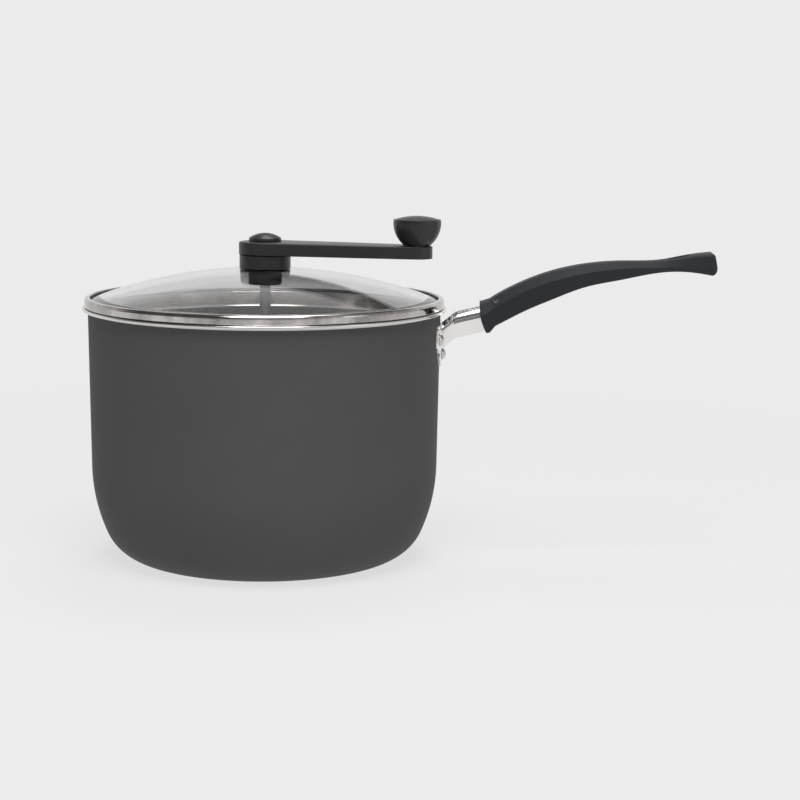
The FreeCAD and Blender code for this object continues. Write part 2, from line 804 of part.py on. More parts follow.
def make_bracket():
    """Flange and stem in one pressing: a channel, rounded along its back and open below."""
    body = new_body("handle_bracket")
    top, tip = FLANGE_TOP + S.stem_sheet, FLANGE_TIP - S.stem_sheet
    plate = sketch_on(body, "YZ", MOUTH_RADIUS - S.rivet_reach)
    draw(plate, shield())
    extrude(body, plate, 2 * S.rivet_reach)
    revolve(body, [
        at(wall_radius(tip) + S.flange_sheet, tip), at(TONGUE_END_X, tip), at(TONGUE_END_X, top),
        at(wall_radius(top) + S.flange_sheet, top),
    ], cut=True)

    start = wall_radius(FLANGE_TOP) - S.stem_root_depth
    back = sketch_on(body, "XZ")
    draw(back, stem_back(start))
    pad = extrude(body, back, S.stem_width, both=True)
    doc.recompute()
    half, low = S.stem_width.value / 2, (FLANGE_TOP - STEM_BACK_HEIGHT).value

    def is_back_edge(edge):
        """Long edges along the top of the stem's back."""
        box = edge.BoundBox
        on_side = abs(box.YMax - box.YMin) < CLOSE and abs(abs(box.YMax) - half) < CLOSE
        if not on_side or len(edge.Vertexes) < 2 or box.XLength < PROBE:
            return False
        middle = edge.valueAt((edge.FirstParameter + edge.LastParameter) / 2)
        above = middle + Vector(0, -math.copysign(PROBE, middle.y), PROBE)
        return not pad.Shape.isInside(above, CLOSE, True) and middle.z > low

    round_edges(body, pad, STEM_BACK_ROUNDING, is_back_edge)
    skirt = sketch_on(body, "XZ")
    end, root = TONGUE_X + S.stem_skirt_reach, S.stem_root_depth
    draw(skirt, [
        at(start, STEM_ROOT - S.stem_height),
        at(KNEE_X, KNEE_HEIGHT - S.stem_height, S.stem_knee_rounding),
        at(end, KNEE_HEIGHT - S.stem_height + (end - KNEE_X) * tan(S.stem_slope)),
        at(end, TONGUE_HEIGHT - root), at(KNEE_X, KNEE_HEIGHT - root), at(start, STEM_ROOT - root),
    ])
    extrude(body, skirt, STEM_SKIRT_WIDTH, both=True)
    hollow = sketch_on(body, "XZ")
    sheet_drop, face = S.stem_sheet + S.stem_wall_play, S.flange_sheet + S.stem_wall_play
    floor, beyond = STEM_ROOT - 2 * S.stem_height, TONGUE_END_X + S.stem_sheet
    draw(hollow, [
        at(wall_radius(floor) + face, floor), at(beyond, floor),
        at(beyond, TONGUE_END_HEIGHT - sheet_drop + S.stem_sheet * tan(S.tongue_slope)),
        at(TONGUE_X, TONGUE_HEIGHT - sheet_drop, S.tongue_bend_rounding),
        at(KNEE_X, KNEE_HEIGHT - sheet_drop, S.stem_knee_inner),
        at(wall_radius(STEM_ROOT) + face, STEM_ROOT - sheet_drop),
    ])
    extrude(body, hollow, STEM_SKIRT_WIDTH - 2 * S.stem_sheet, cut=True, both=True)
    below, above = tip - S.stem_height, top + S.stem_height
    revolve(body, [
        at(0, below), at(wall_radius(below) + S.fit_gap, below),
        at(wall_radius(above) + S.fit_gap, above), at(0, above),
    ], cut=True)
    for azimuth, height in RIVETS.values():
        drill(body, azimuth, height)
    keep(body)


# ---------------------------------------------------------------- grip

def part_of(name):
    """What one section of the grip measures: spine to back, to underside, to crease, and width."""
    return tuple(getattr(S, f"{name}_{word}") for word in ("back", "under", "crease", "width"))


def along(place, length, climb):
    """The point a length further on, climbing at an angle."""
    return place[0] + length * cos(climb), place[1] + length * sin(climb)


def grip_collar_stations():
    """Sections of the grip's collar: its mouth, its lip and the kink where the shank starts."""
    mouth, slope = (GRIP_X, GRIP_HEIGHT), S.stem_slope
    face = (*part_of("mouth"), S.mouth_flat)
    return [
        (*along(mouth, -S.grip_mouth_overrun, slope), slope, *face),
        (*along(mouth, S.grip_lip_length, slope), slope, *face),
        (*along(mouth, S.grip_collar_length, S.grip_collar_climb), slope, *part_of("collar"),
         S.collar_flat),
    ]


def grip_stations():
    """Sections beyond the collar: place, tilt, distances from the spine, width and flat share."""
    x, z = along((GRIP_X, GRIP_HEIGHT), S.grip_shank_length, S.grip_climb)
    palms = ("belly", "palm", "finger", "wrist")
    sweep = (S.grip_bend_start - S.grip_bend_end) / (len(palms) - 1)
    centre_x = x + S.grip_bend_radius * sin(S.grip_bend_start)
    centre_z = z - S.grip_bend_radius * cos(S.grip_bend_start)
    stations = []
    for i, name in enumerate(palms):
        tilt = S.grip_bend_start - sweep * i
        stations.append((centre_x - S.grip_bend_radius * sin(tilt),
                         centre_z + S.grip_bend_radius * cos(tilt), tilt, *part_of(name),
                         S.grip_flat))
    place = stations[-1][:2]
    for name, length, tilt, share in (
            ("waist", S.grip_waist_length, S.grip_tail_climb, S.waist_flat),
            ("tail", S.grip_tail_length, S.grip_tail_climb, S.tail_flat),
            ("end", S.grip_end_length, S.grip_end_climb, S.end_flat)):
        place = along(place, length, tilt)
        stations.append((*place, tilt, *part_of(name), share))
    return stations


def grip_section(body, station):
    """A six-sided section across the spine, rounded along its back and its two creases."""
    x, z, tilt, back, under, crease, width, share = station
    section = sketch_on(body, "YZ", x)
    bind(section, "AttachmentOffset.Base.y", z)
    offset = section.AttachmentOffset
    offset.Rotation = Rotation(Vector(-1, 0, 0), tilt.value)
    section.AttachmentOffset = offset
    section.setExpression("AttachmentOffset.Rotation.Angle", tilt.text)
    half, flat, rounding = width / 2, width * share, S.grip_back_rounding
    draw(section, [
        at(flat, back, rounding), at(-flat, back, rounding),
        at(-half, crease, S.grip_crease_rounding), at(-flat, -under, rounding),
        at(flat, -under, rounding), at(half, crease, S.grip_crease_rounding),
    ])
    return section


def curve_mouth(body):
    """Trim the grip's mouth to an arc that bows towards the pan."""
    radius, slope, spread = S.grip_mouth_radius, S.stem_slope, S.grip_mouth_spread
    reach = sqrt(radius * radius - S.mouth_under * S.mouth_under)
    x, z = along((GRIP_X, GRIP_HEIGHT), reach, slope)
    high_x, high_z = along((x, z), -radius, slope - spread)
    low_x, low_z = along((x, z), -radius, slope + spread)
    left = GRIP_X - S.mouth_reach
    face = sketch_on(body, "XZ")
    draw(face, [
        at(left, low_z), at(low_x, low_z), arc_to(high_x, high_z, radius, -1), at(left, high_z),
    ])
    extrude(body, face, cut=True)


def trim_grip_end(body, end_x, end_height):
    """Round the tail of the grip off in side view and in plan."""
    start, beyond = end_x - S.mouth_reach, end_x + S.mouth_reach
    high = end_height + S.end_back - S.grip_end_sag
    low = end_height - S.end_under + S.end_lower_trim
    over, under = high + S.mouth_reach, low - S.mouth_reach
    side = sketch_on(body, "XZ")
    draw(side, [
        at(start, high),
        at(end_x - S.end_upper_setback, high, S.end_upper_corner),
        at(end_x - S.end_lower_setback, low, S.end_lower_corner),
        at(start, low), at(start, under), at(beyond, under), at(beyond, over), at(start, over),
    ])
    extrude(body, side, cut=True)
    plan = sketch_on(body, "XY")
    half, brink, corner = S.end_width / 2, end_x - S.end_side_setback, S.end_side_corner
    wide = half + S.mouth_reach
    draw(plan, [
        at(start, half), at(brink, half, corner), at(brink, -half, corner), at(start, -half),
        at(start, -wide), at(beyond, -wide), at(beyond, wide), at(start, wide),
    ])
    extrude(body, plan, cut=True)


def grip_screw_line():
    """Where the grip's screw stands on the tongue's rounded shoulder, and the way it points."""
    lean = math.radians(S.tongue_slope.value)
    lift = math.radians(S.grip_screw_lift.value)
    way = Vector(-math.sin(lean) * math.sin(lift), -math.cos(lift),
                 math.cos(lean) * math.sin(lift))
    rounding = STEM_BACK_ROUNDING
    x = TONGUE_X + S.grip_screw_reach
    z = TONGUE_HEIGHT + S.grip_screw_reach * tan(S.tongue_slope)
    x, z = x + rounding * sin(S.tongue_slope), z - rounding * cos(S.tongue_slope)
    y = -S.stem_back_flat
    foot = rounding + S.fit_gap
    return (x + foot * way.x, y + foot * way.y, z + foot * way.z), Rotation(Vector(0, 0, 1), way)


def stand_on_shoulder(item):
    """Put an item's foot on the tongue's shoulder with its Z axis along the grip screw."""
    foot, turn = grip_screw_line()
    item.Placement = FreeCAD.Placement(Vector(*(amount.value for amount in foot)), turn)
    for axis, amount in zip("xyz", foot):
        bind(item, f"Placement.Base.{axis}", amount)


def make_grip():
    """The moulded grip: faceted sections lofted along the spine, with its socket and hang slot."""
    body = new_body("handle_grip")
    stations = grip_stations()
    collar = [grip_section(body, station) for station in grip_collar_stations()]
    shank = [collar[-1]] + [grip_section(body, station) for station in stations]
    for name, sections in (("handle_grip_collar", collar), ("handle_grip_loft", shank)):
        loft = body.newObject("PartDesign::AdditiveLoft", name)
        loft.Profile = sections[0]
        loft.Sections = sections[1:]
        loft.Ruled = sections is collar
    doc.recompute()
    curve_mouth(body)
    end_x, end_height = stations[-1][:2]
    trim_grip_end(body, end_x, end_height)
    clear, bend = S.socket_clearance, S.tongue_bend_rounding
    socket = sketch_on(body, "XZ")
    mouth_x, blind_x = GRIP_X - S.mouth_reach, TONGUE_END_X + clear
    back_mouth = KNEE_HEIGHT + (mouth_x - KNEE_X) * tan(S.stem_slope)
    back_end = TONGUE_END_HEIGHT + clear * tan(S.tongue_slope)
    draw(socket, [
        at(mouth_x, back_mouth - STEM_BACK_HEIGHT - clear),
        at(TONGUE_X, TONGUE_HEIGHT - STEM_BACK_HEIGHT - clear, bend),
        at(blind_x, back_end - STEM_BACK_HEIGHT - clear), at(blind_x, back_end + clear),
        at(TONGUE_X, TONGUE_HEIGHT + clear, bend), at(mouth_x, back_mouth + clear),
    ])
    extrude(body, socket, S.stem_width + 2 * clear, cut=True, both=True)
    skirt = sketch_on(body, "XZ")
    end = TONGUE_X + S.stem_skirt_reach + clear
    under = KNEE_HEIGHT - S.stem_height - clear - KNEE_X * tan(S.stem_slope)
    draw(skirt, [
        at(mouth_x, under + mouth_x * tan(S.stem_slope)), at(end, under + end * tan(S.stem_slope)),
        at(end, TONGUE_HEIGHT - S.stem_sheet), at(mouth_x, back_mouth - S.stem_sheet),
    ])
    extrude(body, skirt, STEM_SKIRT_WIDTH + 2 * clear, cut=True, both=True)
    slot = sketch_on(body, "XY")
    half = S.hang_slot_width / 2
    first = end_x - S.hang_slot_setback + half
    last = first + S.hang_slot_length - S.hang_slot_width
    draw(slot, [
        arc_to(first, -half, half, 1), at(last, -half), arc_to(last + half, 0, half, 1),
        arc_to(last, half, half, 1), at(first, half), arc_to(first - half, 0, half, 1),
    ])
    extrude(body, slot, cut=True)
    bore = body.newObject("PartDesign::SubtractiveCylinder", "handle_grip_screw_hole")
    bind(bore, "Radius", S.grip_screw_radius + S.fit_gap)
    bind(bore, "Height", S.mouth_width / 2)
    stand_on_shoulder(bore)
    keep(body)

    screw = new_body("grip_screw")
    shank = sketch_on(screw, "XY")
    draw_circle(shank, 0, 0, S.grip_screw_radius)
    extrude(screw, shank, S.grip_screw_length)
    key = sketch_on(screw, "XY", S.grip_screw_length)
    draw(key, hexagon(S.grip_screw_key / 2))
    extrude(screw, key, S.grip_screw_key_depth, cut=True)
    stand_on_shoulder(keep(screw))


# ---------------------------------------------------------------- lid

def make_band():
    """The rolled lid band: seat flange, outer wall lapped over the glass, skirt with a beaded hem."""
    sheet, bead = S.band_sheet, S.skirt_bead
    lap_in, lap_under = BAND_RADIUS - S.band_lap, BAND_TOP - sheet
    keep_in = lap_in + sheet
    turned("lid_band", [
        at(SKIRT_RADIUS, SKIRT_BOTTOM, S.bead_rounding),
        at(SKIRT_RADIUS, LID_SEAT, S.fold_rounding),
        at(BAND_RADIUS, LID_SEAT, S.hem_rounding),
        at(BAND_RADIUS, BAND_TOP, S.band_rounding),
        at(lap_in, BAND_TOP, S.hem_rounding),
        at(lap_in, HEM_BOTTOM),
        at(keep_in, HEM_BOTTOM),
        at(keep_in, lap_under),
        at(BAND_RADIUS - sheet, lap_under, S.band_inner_rounding),
        at(BAND_RADIUS - sheet, SEAL_FLOOR),
        at(SKIRT_RADIUS - sheet, SEAL_FLOOR),
        at(SKIRT_RADIUS - sheet, SKIRT_BOTTOM + bead, S.fold_rounding),
        at(SKIRT_RADIUS - bead, SKIRT_BOTTOM + bead, S.bead_rounding),
        at(SKIRT_RADIUS - bead, SKIRT_BOTTOM, S.bead_rounding),
    ])


def make_glass():
    """The glass dome, ground flat under its edge, with a hole for the hub."""
    under = S.glass_radius - S.glass_thickness
    rise = GLASS_SEAT - GLASS_CENTRE
    flat_from = sqrt(under * under - rise * rise)
    turned("lid_glass", [
        arc_to(GLASS_HOLE, glass_under(GLASS_HOLE), under, 1),
        at(GLASS_HOLE, glass_top(GLASS_HOLE)),
        arc_to(GLASS_EDGE, glass_top(GLASS_EDGE), S.glass_radius, -1),
        at(GLASS_EDGE, GLASS_SEAT),
        at(flat_from, GLASS_SEAT),
    ])


def make_glass_seal():
    """The soft channel between the glass edge and the band."""
    gap = S.fit_gap
    outside = BAND_RADIUS - S.band_sheet - gap
    hem = BAND_RADIUS - S.band_lap + S.band_sheet + gap
    inside = BAND_RADIUS - S.band_lap - S.seal_lip
    floor_in = SKIRT_RADIUS - S.band_sheet + S.seal_thickness
    roof = BAND_TOP - S.band_sheet - gap
    turned("glass_seal", [
        at(floor_in, SEAL_FLOOR),
        at(outside, SEAL_FLOOR),
        at(outside, roof, S.band_inner_rounding),
        at(hem, roof),
        at(hem, HEM_BOTTOM - gap),
        at(inside, HEM_BOTTOM - gap),
        at(inside, glass_top(inside, gap)),
        arc_to(GLASS_EDGE + gap, glass_top(GLASS_EDGE + gap, gap), S.glass_radius + gap, -1),
        at(GLASS_EDGE + gap, GLASS_SEAT - gap),
        at(floor_in, GLASS_SEAT - gap),
    ])


def make_hub():
    """What stands on the glass and clamps it: housing with a spigot, gaskets, nut and bush."""
    gap = S.fit_gap
    skirt_foot, inner = glass_top(S.hub_radius) + S.hub_foot_gap, S.hub_radius - S.hub_skirt_wall
    flange = BUSH_RADIUS + S.bush_flange
    flange_under = HUB_TOP - S.bush_flange_thickness
    turned("hub_housing", [
        at(SPIGOT_BORE, SPIGOT_END),
        at(SPIGOT_RADIUS, SPIGOT_END, S.small_edge),
        at(SPIGOT_RADIUS, HUB_UNDERSIDE),
        at(inner, HUB_UNDERSIDE),
        at(inner, skirt_foot),
        at(S.hub_radius, skirt_foot, S.small_edge),
        at(S.hub_radius, HUB_TOP, S.hub_edge),
        at(flange + gap, HUB_TOP),
        at(flange + gap, flange_under),
        at(SPIGOT_BORE, flange_under),
    ])
    turned("shaft_bush", [
        at(BUSH_BORE, SPIGOT_END),
        at(BUSH_RADIUS, SPIGOT_END),
        at(BUSH_RADIUS, flange_under + gap),
        at(flange, flange_under + gap),
        at(flange, HUB_TOP),
        at(BUSH_BORE, HUB_TOP),
    ])
    ring_in = SPIGOT_RADIUS + gap
    upper, lower = inner - S.hub_gasket_play, NUT_RADIUS - S.nut_gasket_setback
    turned("hub_gasket_upper", [
        arc_to(ring_in, glass_top(ring_in, gap), S.glass_radius + gap, 1),
        at(ring_in, HUB_UNDERSIDE),
        at(upper, HUB_UNDERSIDE),
        at(upper, glass_top(upper, gap)),
    ])
    turned("hub_gasket_lower", [
        at(ring_in, NUT_TOP),
        at(lower, NUT_TOP),
        at(lower, glass_under(lower, gap)),
        arc_to(ring_in, glass_under(ring_in, gap), S.glass_radius - S.glass_thickness - gap, 1),
    ])
    turned("hub_nut", [
        at(ring_in, NUT_BOTTOM),
        at(NUT_RADIUS, NUT_BOTTOM, S.nut_rounding),
        at(NUT_RADIUS, NUT_TOP, S.small_edge),
        at(ring_in, NUT_TOP),
    ])


def washer(name, inner, outer, bottom, thickness):
    """A flat ring."""
    return turned(name, [
        at(inner, bottom), at(outer, bottom), at(outer, bottom + thickness),
        at(inner, bottom + thickness),
    ])


# ---------------------------------------------------------------- crank

def arm_half_width(x, inset=0):
    """Half the arm's width at a distance from its hub, less an inset."""
    big, reach = S.arm_hub_radius, S.crank_length
    lean = (big - S.arm_end_radius) / reach
    return (big - inset - lean * x) / sqrt(1 - lean * lean)


def core_arm(body):
    """Two pockets in the arm's underside, either side of a rib and clear of both bosses."""
    hub = S.arm_hub_radius + S.arm_core_hub_gap
    boss = S.knob_pin_head_radius + S.knob_pin_seat_play + S.arm_core_end_gap
    reach, rib = S.crank_length, S.arm_rib / 2
    near, far = sqrt(hub * hub - rib * rib), reach - sqrt(boss * boss - rib * rib)
    wide_x, wide = hub * cos(S.arm_core_hub_turn), hub * sin(S.arm_core_hub_turn)
    slim_x, slim = reach - boss * cos(S.arm_core_end_turn), boss * sin(S.arm_core_end_turn)
    depth, wall = S.arm_thickness - S.arm_core_roof, S.arm_core_wall
    outer_near, outer_far = arm_half_width(wide_x, wall), arm_half_width(slim_x, wall)
    for side in (-1, 1):
        pocket = sketch_on(body, "XY", ARM_BOTTOM)
        draw(pocket, [
            arc_to(near, side * rib, hub, -side), at(far, side * rib),
            arc_to(slim_x, side * slim, boss, -side),
            at(slim_x, side * outer_far, S.arm_core_corner),
            at(wide_x, side * outer_near, S.arm_core_corner), at(wide_x, side * wide),
        ])
        extrude(body, pocket, depth, cut=True, up=True)


def make_arm():
    """The moulded arm: a tapered bar, cored below, with its screw seat and knob pin seat."""
    body = new_body("crank_arm")
    big, small, reach = S.arm_hub_radius, S.arm_end_radius, S.crank_length
    lean = (big - small) / reach
    rise = sqrt(1 - lean * lean)
    plan = sketch_on(body, "XY", ARM_BOTTOM)
    draw(plan, [
        arc_to(big * lean, -big * rise, big, 1),
        at(reach + small * lean, -small * rise),
        arc_to(reach + small, 0, small, 1),
        arc_to(reach + small * lean, small * rise, small, 1),
        at(big * lean, big * rise),
        arc_to(-big, 0, big, 1),
    ])
    pad = extrude(body, plan, S.arm_thickness)
    top, bottom = ARM_TOP.value, ARM_BOTTOM.value
    upper = round_edges(body, pad, S.arm_top_rounding,
                        lambda edge: abs(edge.BoundBox.ZMin - top) < CLOSE)
    round_edges(body, upper, S.arm_bottom_rounding,
                lambda edge: abs(edge.BoundBox.ZMax - bottom) < CLOSE)
    seat = sketch_on(body, "XY", ARM_TOP)
    draw_circle(seat, 0, 0, S.screw_seat_radius)
    extrude(body, seat, S.screw_seat_depth, cut=True)
    drive = sketch_on(body, "XY", ARM_TOP)
    bore, flat = S.shaft_radius + S.fit_gap, DRIVE_FLAT + S.fit_gap
    corner = sqrt(bore * bore - flat * flat)
    draw(drive, [
        at(corner, -flat), arc_to(corner, flat, bore, 1), at(-corner, flat),
        arc_to(-corner, -flat, bore, 1),
    ])
    extrude(body, drive, cut=True)
    pin = sketch_on(body, "XY", ARM_TOP)
    draw_circle(pin, reach, 0, S.knob_pin_radius + S.fit_gap)
    extrude(body, pin, cut=True)
    head = sketch_on(body, "XY", ARM_BOTTOM)
    draw_circle(head, reach, 0, S.knob_pin_head_radius + S.knob_pin_seat_play)
    extrude(body, head, S.knob_pin_seat_depth, cut=True, up=True)
    core_arm(body)
    on_crank(keep(body))


def make_shaft():
    """The crank shaft: flats and a tapped end at the top, a ring groove, a seat for the set screw."""
    body = new_body("crank_shaft")
    radius, groove = S.shaft_radius, S.shaft_radius - S.ring_groove_depth
    slack, tap = S.ring_slack, S.screw_radius + S.fit_gap
    tap_end = SHAFT_TOP - S.screw_length - S.tap_depth
    revolve(body, [
        at(0, SHAFT_END),
        at(radius, SHAFT_END, S.shaft_chamfer),
        at(radius, RING_BOTTOM - slack),
        at(groove, RING_BOTTOM - slack),
        at(groove, RING_BOTTOM + S.ring_thickness + slack),
        at(radius, RING_BOTTOM + S.ring_thickness + slack),
        at(radius, SHAFT_TOP, S.shaft_chamfer),
        at(tap, SHAFT_TOP),
        at(tap, tap_end),
        at(0, tap_end),
    ])
    wide = 2 * radius
    for side in (-1, 1):
        flat = body.newObject("PartDesign::SubtractiveBox", "crank_shaft_flat")
        bind(flat, "Length", 2 * wide)
        bind(flat, "Width", radius)
        bind(flat, "Height", S.arm_thickness)
        bind(flat, "Placement.Base.x", -wide)
        bind(flat, "Placement.Base.y", DRIVE_FLAT if side > 0 else -(DRIVE_FLAT + radius))
        bind(flat, "Placement.Base.z", ARM_BOTTOM - S.washer_thickness / 2)
    seat = body.newObject("PartDesign::SubtractiveBox", "crank_shaft_seat")
    bind(seat, "Length", radius)
    bind(seat, "Width", 2 * wide)
    bind(seat, "Height", S.set_screw_seat)
    bind(seat, "Placement.Base.x", radius - S.set_screw_flat)
    bind(seat, "Placement.Base.y", -wide)
    bind(seat, "Placement.Base.z", SET_SCREW_HEIGHT - S.set_screw_seat / 2)
    on_crank(keep(body))


def make_crank_fittings():
    """Washer, retaining ring, screw and cap at the crank's hub."""
    gap = S.fit_gap
    washer("crank_washer", BUSH_BORE, BUSH_BORE + S.washer_width, ARM_BOTTOM - S.washer_thickness,
           S.washer_thickness)
    groove, ring_edge = S.shaft_radius - S.ring_groove_depth + gap, S.shaft_radius + S.ring_reach
    ring = turned("shaft_ring", [
        at(groove, RING_BOTTOM), at(ring_edge, RING_BOTTOM),
        at(ring_edge, RING_BOTTOM + S.ring_thickness),
        at(groove, RING_BOTTOM + S.ring_thickness),
    ], angle=360 - S.ring_opening)
    on_crank(ring)
    turned("crank_screw", [
        at(0, SCREW_SEAT - S.screw_length),
        at(S.screw_radius, SCREW_SEAT - S.screw_length, S.small_edge),
        at(S.screw_radius, SCREW_SEAT),
        at(S.screw_head_radius, SCREW_SEAT),
        at(S.screw_head_radius, SCREW_SEAT + S.screw_head_height, S.screw_head_rounding),
        at(0, SCREW_SEAT + S.screw_head_height),
    ])
    foot, rim = ARM_TOP + gap, ARM_TOP + gap + S.cap_rim
    plug = S.screw_seat_radius - gap
    roof = SCREW_SEAT + S.screw_head_height + S.cap_roof_gap
    dome = (S.cap_radius * S.cap_radius + S.cap_rise * S.cap_rise) / (2 * S.cap_rise)
    turned("crank_cap", [
        at(0, roof),
        at(plug - S.cap_plug_wall, roof),
        at(plug - S.cap_plug_wall, ARM_TOP - S.cap_plug_depth),
        at(plug, ARM_TOP - S.cap_plug_depth),
        at(plug, foot),
        at(S.cap_radius, foot),
        at(S.cap_radius, rim),
        arc_to(0, rim + S.cap_rise, dome, 1),
    ])


def make_knob():
    """The knob on its pin: a bowl-sided grip, a domed cap, and what keeps them on the arm."""
    gap = S.run_gap
    pin, thread = S.knob_pin_radius, S.knob_pin_thread_radius
    bore = pin + gap
    belly, foot = KNOB_BASE + S.knob_belly_height, S.knob_base_radius
    cap_radius = S.knob_rim_radius - S.knob_rim_width
    knob = turned("crank_knob", [
        at(bore, KNOB_BASE),
        at(foot, KNOB_BASE, S.small_edge),
        at(foot + S.knob_foot_flare, KNOB_BASE + S.knob_foot_height),
        arc_to(S.knob_belly_radius, belly, S.knob_side_radius, 1),
        arc_to(S.knob_rim_radius, KNOB_RIM, S.knob_side_radius, 1),
        at(cap_radius, KNOB_RIM),
        at(cap_radius, KNOB_CAP_FLOOR),
        at(S.knob_well_radius, KNOB_CAP_FLOOR),
        at(S.knob_well_radius, KNOB_WELL_FLOOR),
        at(bore, KNOB_WELL_FLOOR),
    ])
    inset = cap_radius - S.fit_gap
    dome = (inset * inset + S.knob_cap_rise * S.knob_cap_rise) / (2 * S.knob_cap_rise)
    cap = turned("knob_cap", [
        at(0, KNOB_CAP_FLOOR + S.fit_gap),
        at(inset, KNOB_CAP_FLOOR + S.fit_gap),
        at(inset, KNOB_RIM),
        arc_to(0, KNOB_RIM + S.knob_cap_rise, dome, 1),
    ])
    shoulder = KNOB_WELL_FLOOR + S.thrust_gap
    head_top = ARM_BOTTOM + S.knob_pin_seat_depth
    nut_bottom = shoulder + S.retaining_washer_thickness
    end = nut_bottom + S.knob_nut_height + S.pin_end_length
    stud = turned("knob_pin", [
        at(0, head_top - S.knob_pin_head_height),
        at(S.knob_pin_head_radius, head_top - S.knob_pin_head_height, S.pin_head_rounding),
        at(S.knob_pin_head_radius, head_top),
        at(pin, head_top),
        at(pin, shoulder),
        at(thread, shoulder),
        at(thread, end, S.small_edge),
        at(0, end),
    ])
    lower = washer("knob_thrust_washer", pin + S.fit_gap, S.thrust_washer_radius, ARM_TOP,
                   S.thrust_washer_thickness)
    upper = washer("knob_retaining_washer", thread + S.fit_gap, S.thrust_washer_radius, shoulder,
                   S.retaining_washer_thickness)
    nut = new_body("knob_nut")
    faces = sketch_on(nut, "XY", nut_bottom)
    draw(faces, hexagon(S.knob_nut_flats / 2))
    draw_circle(faces, 0, 0, thread + S.fit_gap)
    extrude(nut, faces, S.knob_nut_height)
    keep(nut)
    for piece in (knob, cap, stud, lower, upper, nut):
        on_crank(piece, KNOB_X, KNOB_Y)


# ---------------------------------------------------------------- agitator

def lay_across(item, radius, length, height):
    """Lay a cylinder along the body's Y axis, centred on the shaft's axis."""
    bind(item, "Radius", radius)
    bind(item, "Height", length)
    item.Placement = FreeCAD.Placement(Vector(0, length.value / 2, 0), Rotation(Vector(1, 0, 0), 90))
    bind(item, "Placement.Base.y", length / 2)
    bind(item, "Placement.Base.z", height)


def make_agitator():
    """A swept blade that skims the pan's floor, held in a slotted collar on the shaft."""
    gap = S.fit_gap
    blade = new_body("agitator_blade")
    plan = sketch_on(blade, "XY", BLADE_BOTTOM)
    half, bend = S.blade_thickness / 2, S.blade_sweep_radius
    outer, inner = bend + half, bend - half
    tip = S.base_radius + S.blade_overrun
    run = tip - S.blade_straight

    def arm(sign):
        """One swept arm of the blade, from the collar to the tip and back."""
        return [
            at(sign * S.blade_straight, -sign * half),
            arc_to(sign * tip, sign * (bend - sqrt(outer * outer - run * run)), outer, 1),
            at(sign * tip, sign * (bend - sqrt(inner * inner - run * run))),
            arc_to(sign * S.blade_straight, sign * half, inner, -1),
        ]

    draw(plan, arm(1) + arm(-1))
    extrude(blade, plan, S.blade_height)
    hole = blade.newObject("PartDesign::SubtractiveCylinder", "agitator_blade_hole")
    pin_height = BLADE_BOTTOM + S.blade_height / 2
    cross_length = 2 * COLLAR_RADIUS
    lay_across(hole, S.cross_pin_radius + gap, cross_length, pin_height)
    inset = S.pot_wall + S.blade_side_share * S.agitator_gap
    ceiling_x, ceiling_z = heel_point(inset, S.flank_turn)
    floor, beyond = -S.pot_wall, LIP_RADIUS
    revolve(blade, [
        arc_to(S.base_radius, inset, S.heel_radius - inset, -1),
        at(S.base_radius, floor), at(beyond, floor), at(beyond, ceiling_z),
        at(ceiling_x, ceiling_z),
    ], cut=True)
    on_crank(keep(blade))

    collar = new_body("agitator_collar")
    revolve(collar, [
        at(0, COLLAR_BOTTOM),
        at(COLLAR_RADIUS, COLLAR_BOTTOM, S.collar_foot_rounding),
        at(COLLAR_RADIUS, COLLAR_TOP, S.collar_shoulder_rounding),
        at(S.shaft_radius + gap, COLLAR_TOP),
        at(S.shaft_radius + gap, SHAFT_END - S.collar_floor_gap),
        at(0, SHAFT_END - S.collar_floor_gap),
    ])
    slot = collar.newObject("PartDesign::SubtractiveBox", "agitator_collar_slot")
    bind(slot, "Length", 2 * cross_length)
    bind(slot, "Width", S.blade_thickness + 2 * gap)
    bind(slot, "Height", BLADE_TOP - BLADE_BOTTOM + gap)
    bind(slot, "Placement.Base.x", -cross_length)
    bind(slot, "Placement.Base.y", -(half + gap))
    bind(slot, "Placement.Base.z", BLADE_BOTTOM)
    bore = collar.newObject("PartDesign::SubtractiveCylinder", "agitator_collar_hole")
    lay_across(bore, S.cross_pin_radius + gap, 2 * cross_length, pin_height)
    tapped = collar.newObject("PartDesign::SubtractiveCylinder", "agitator_collar_thread")
    bind(tapped, "Radius", S.set_screw_radius + gap)
    bind(tapped, "Height", cross_length)
    tapped.Placement = FreeCAD.Placement(Vector(0, 0, 0), Rotation(Vector(0, 1, 0), 90))
    bind(tapped, "Placement.Base.z", SET_SCREW_HEIGHT)
    on_crank(keep(collar))

    pin = new_body("agitator_pin")
    rod = pin.newObject("PartDesign::AdditiveCylinder", "agitator_pin_rod")
    lay_across(rod, S.cross_pin_radius, cross_length - 2 * S.pin_setback, pin_height)
    on_crank(keep(pin))

    screw = new_body("agitator_set_screw")
    grub = screw.newObject("PartDesign::AdditiveCylinder", "agitator_set_screw_rod")
    start = S.shaft_radius - S.set_screw_flat + S.set_screw_gap
    bind(grub, "Radius", S.set_screw_radius)
    bind(grub, "Height", COLLAR_RADIUS - S.pin_setback - start)
    grub.Placement = FreeCAD.Placement(Vector(start.value, 0, 0), Rotation(Vector(0, 1, 0), 90))
    bind(grub, "Placement.Base.x", start)
    bind(grub, "Placement.Base.z", SET_SCREW_HEIGHT)
    on_crank(keep(screw))


make_pot()
make_rivets()
make_bracket()
make_grip()
make_band()
make_glass()
make_glass_seal()
make_hub()
make_arm()
make_shaft()
make_crank_fittings()
make_knob()
make_agitator()

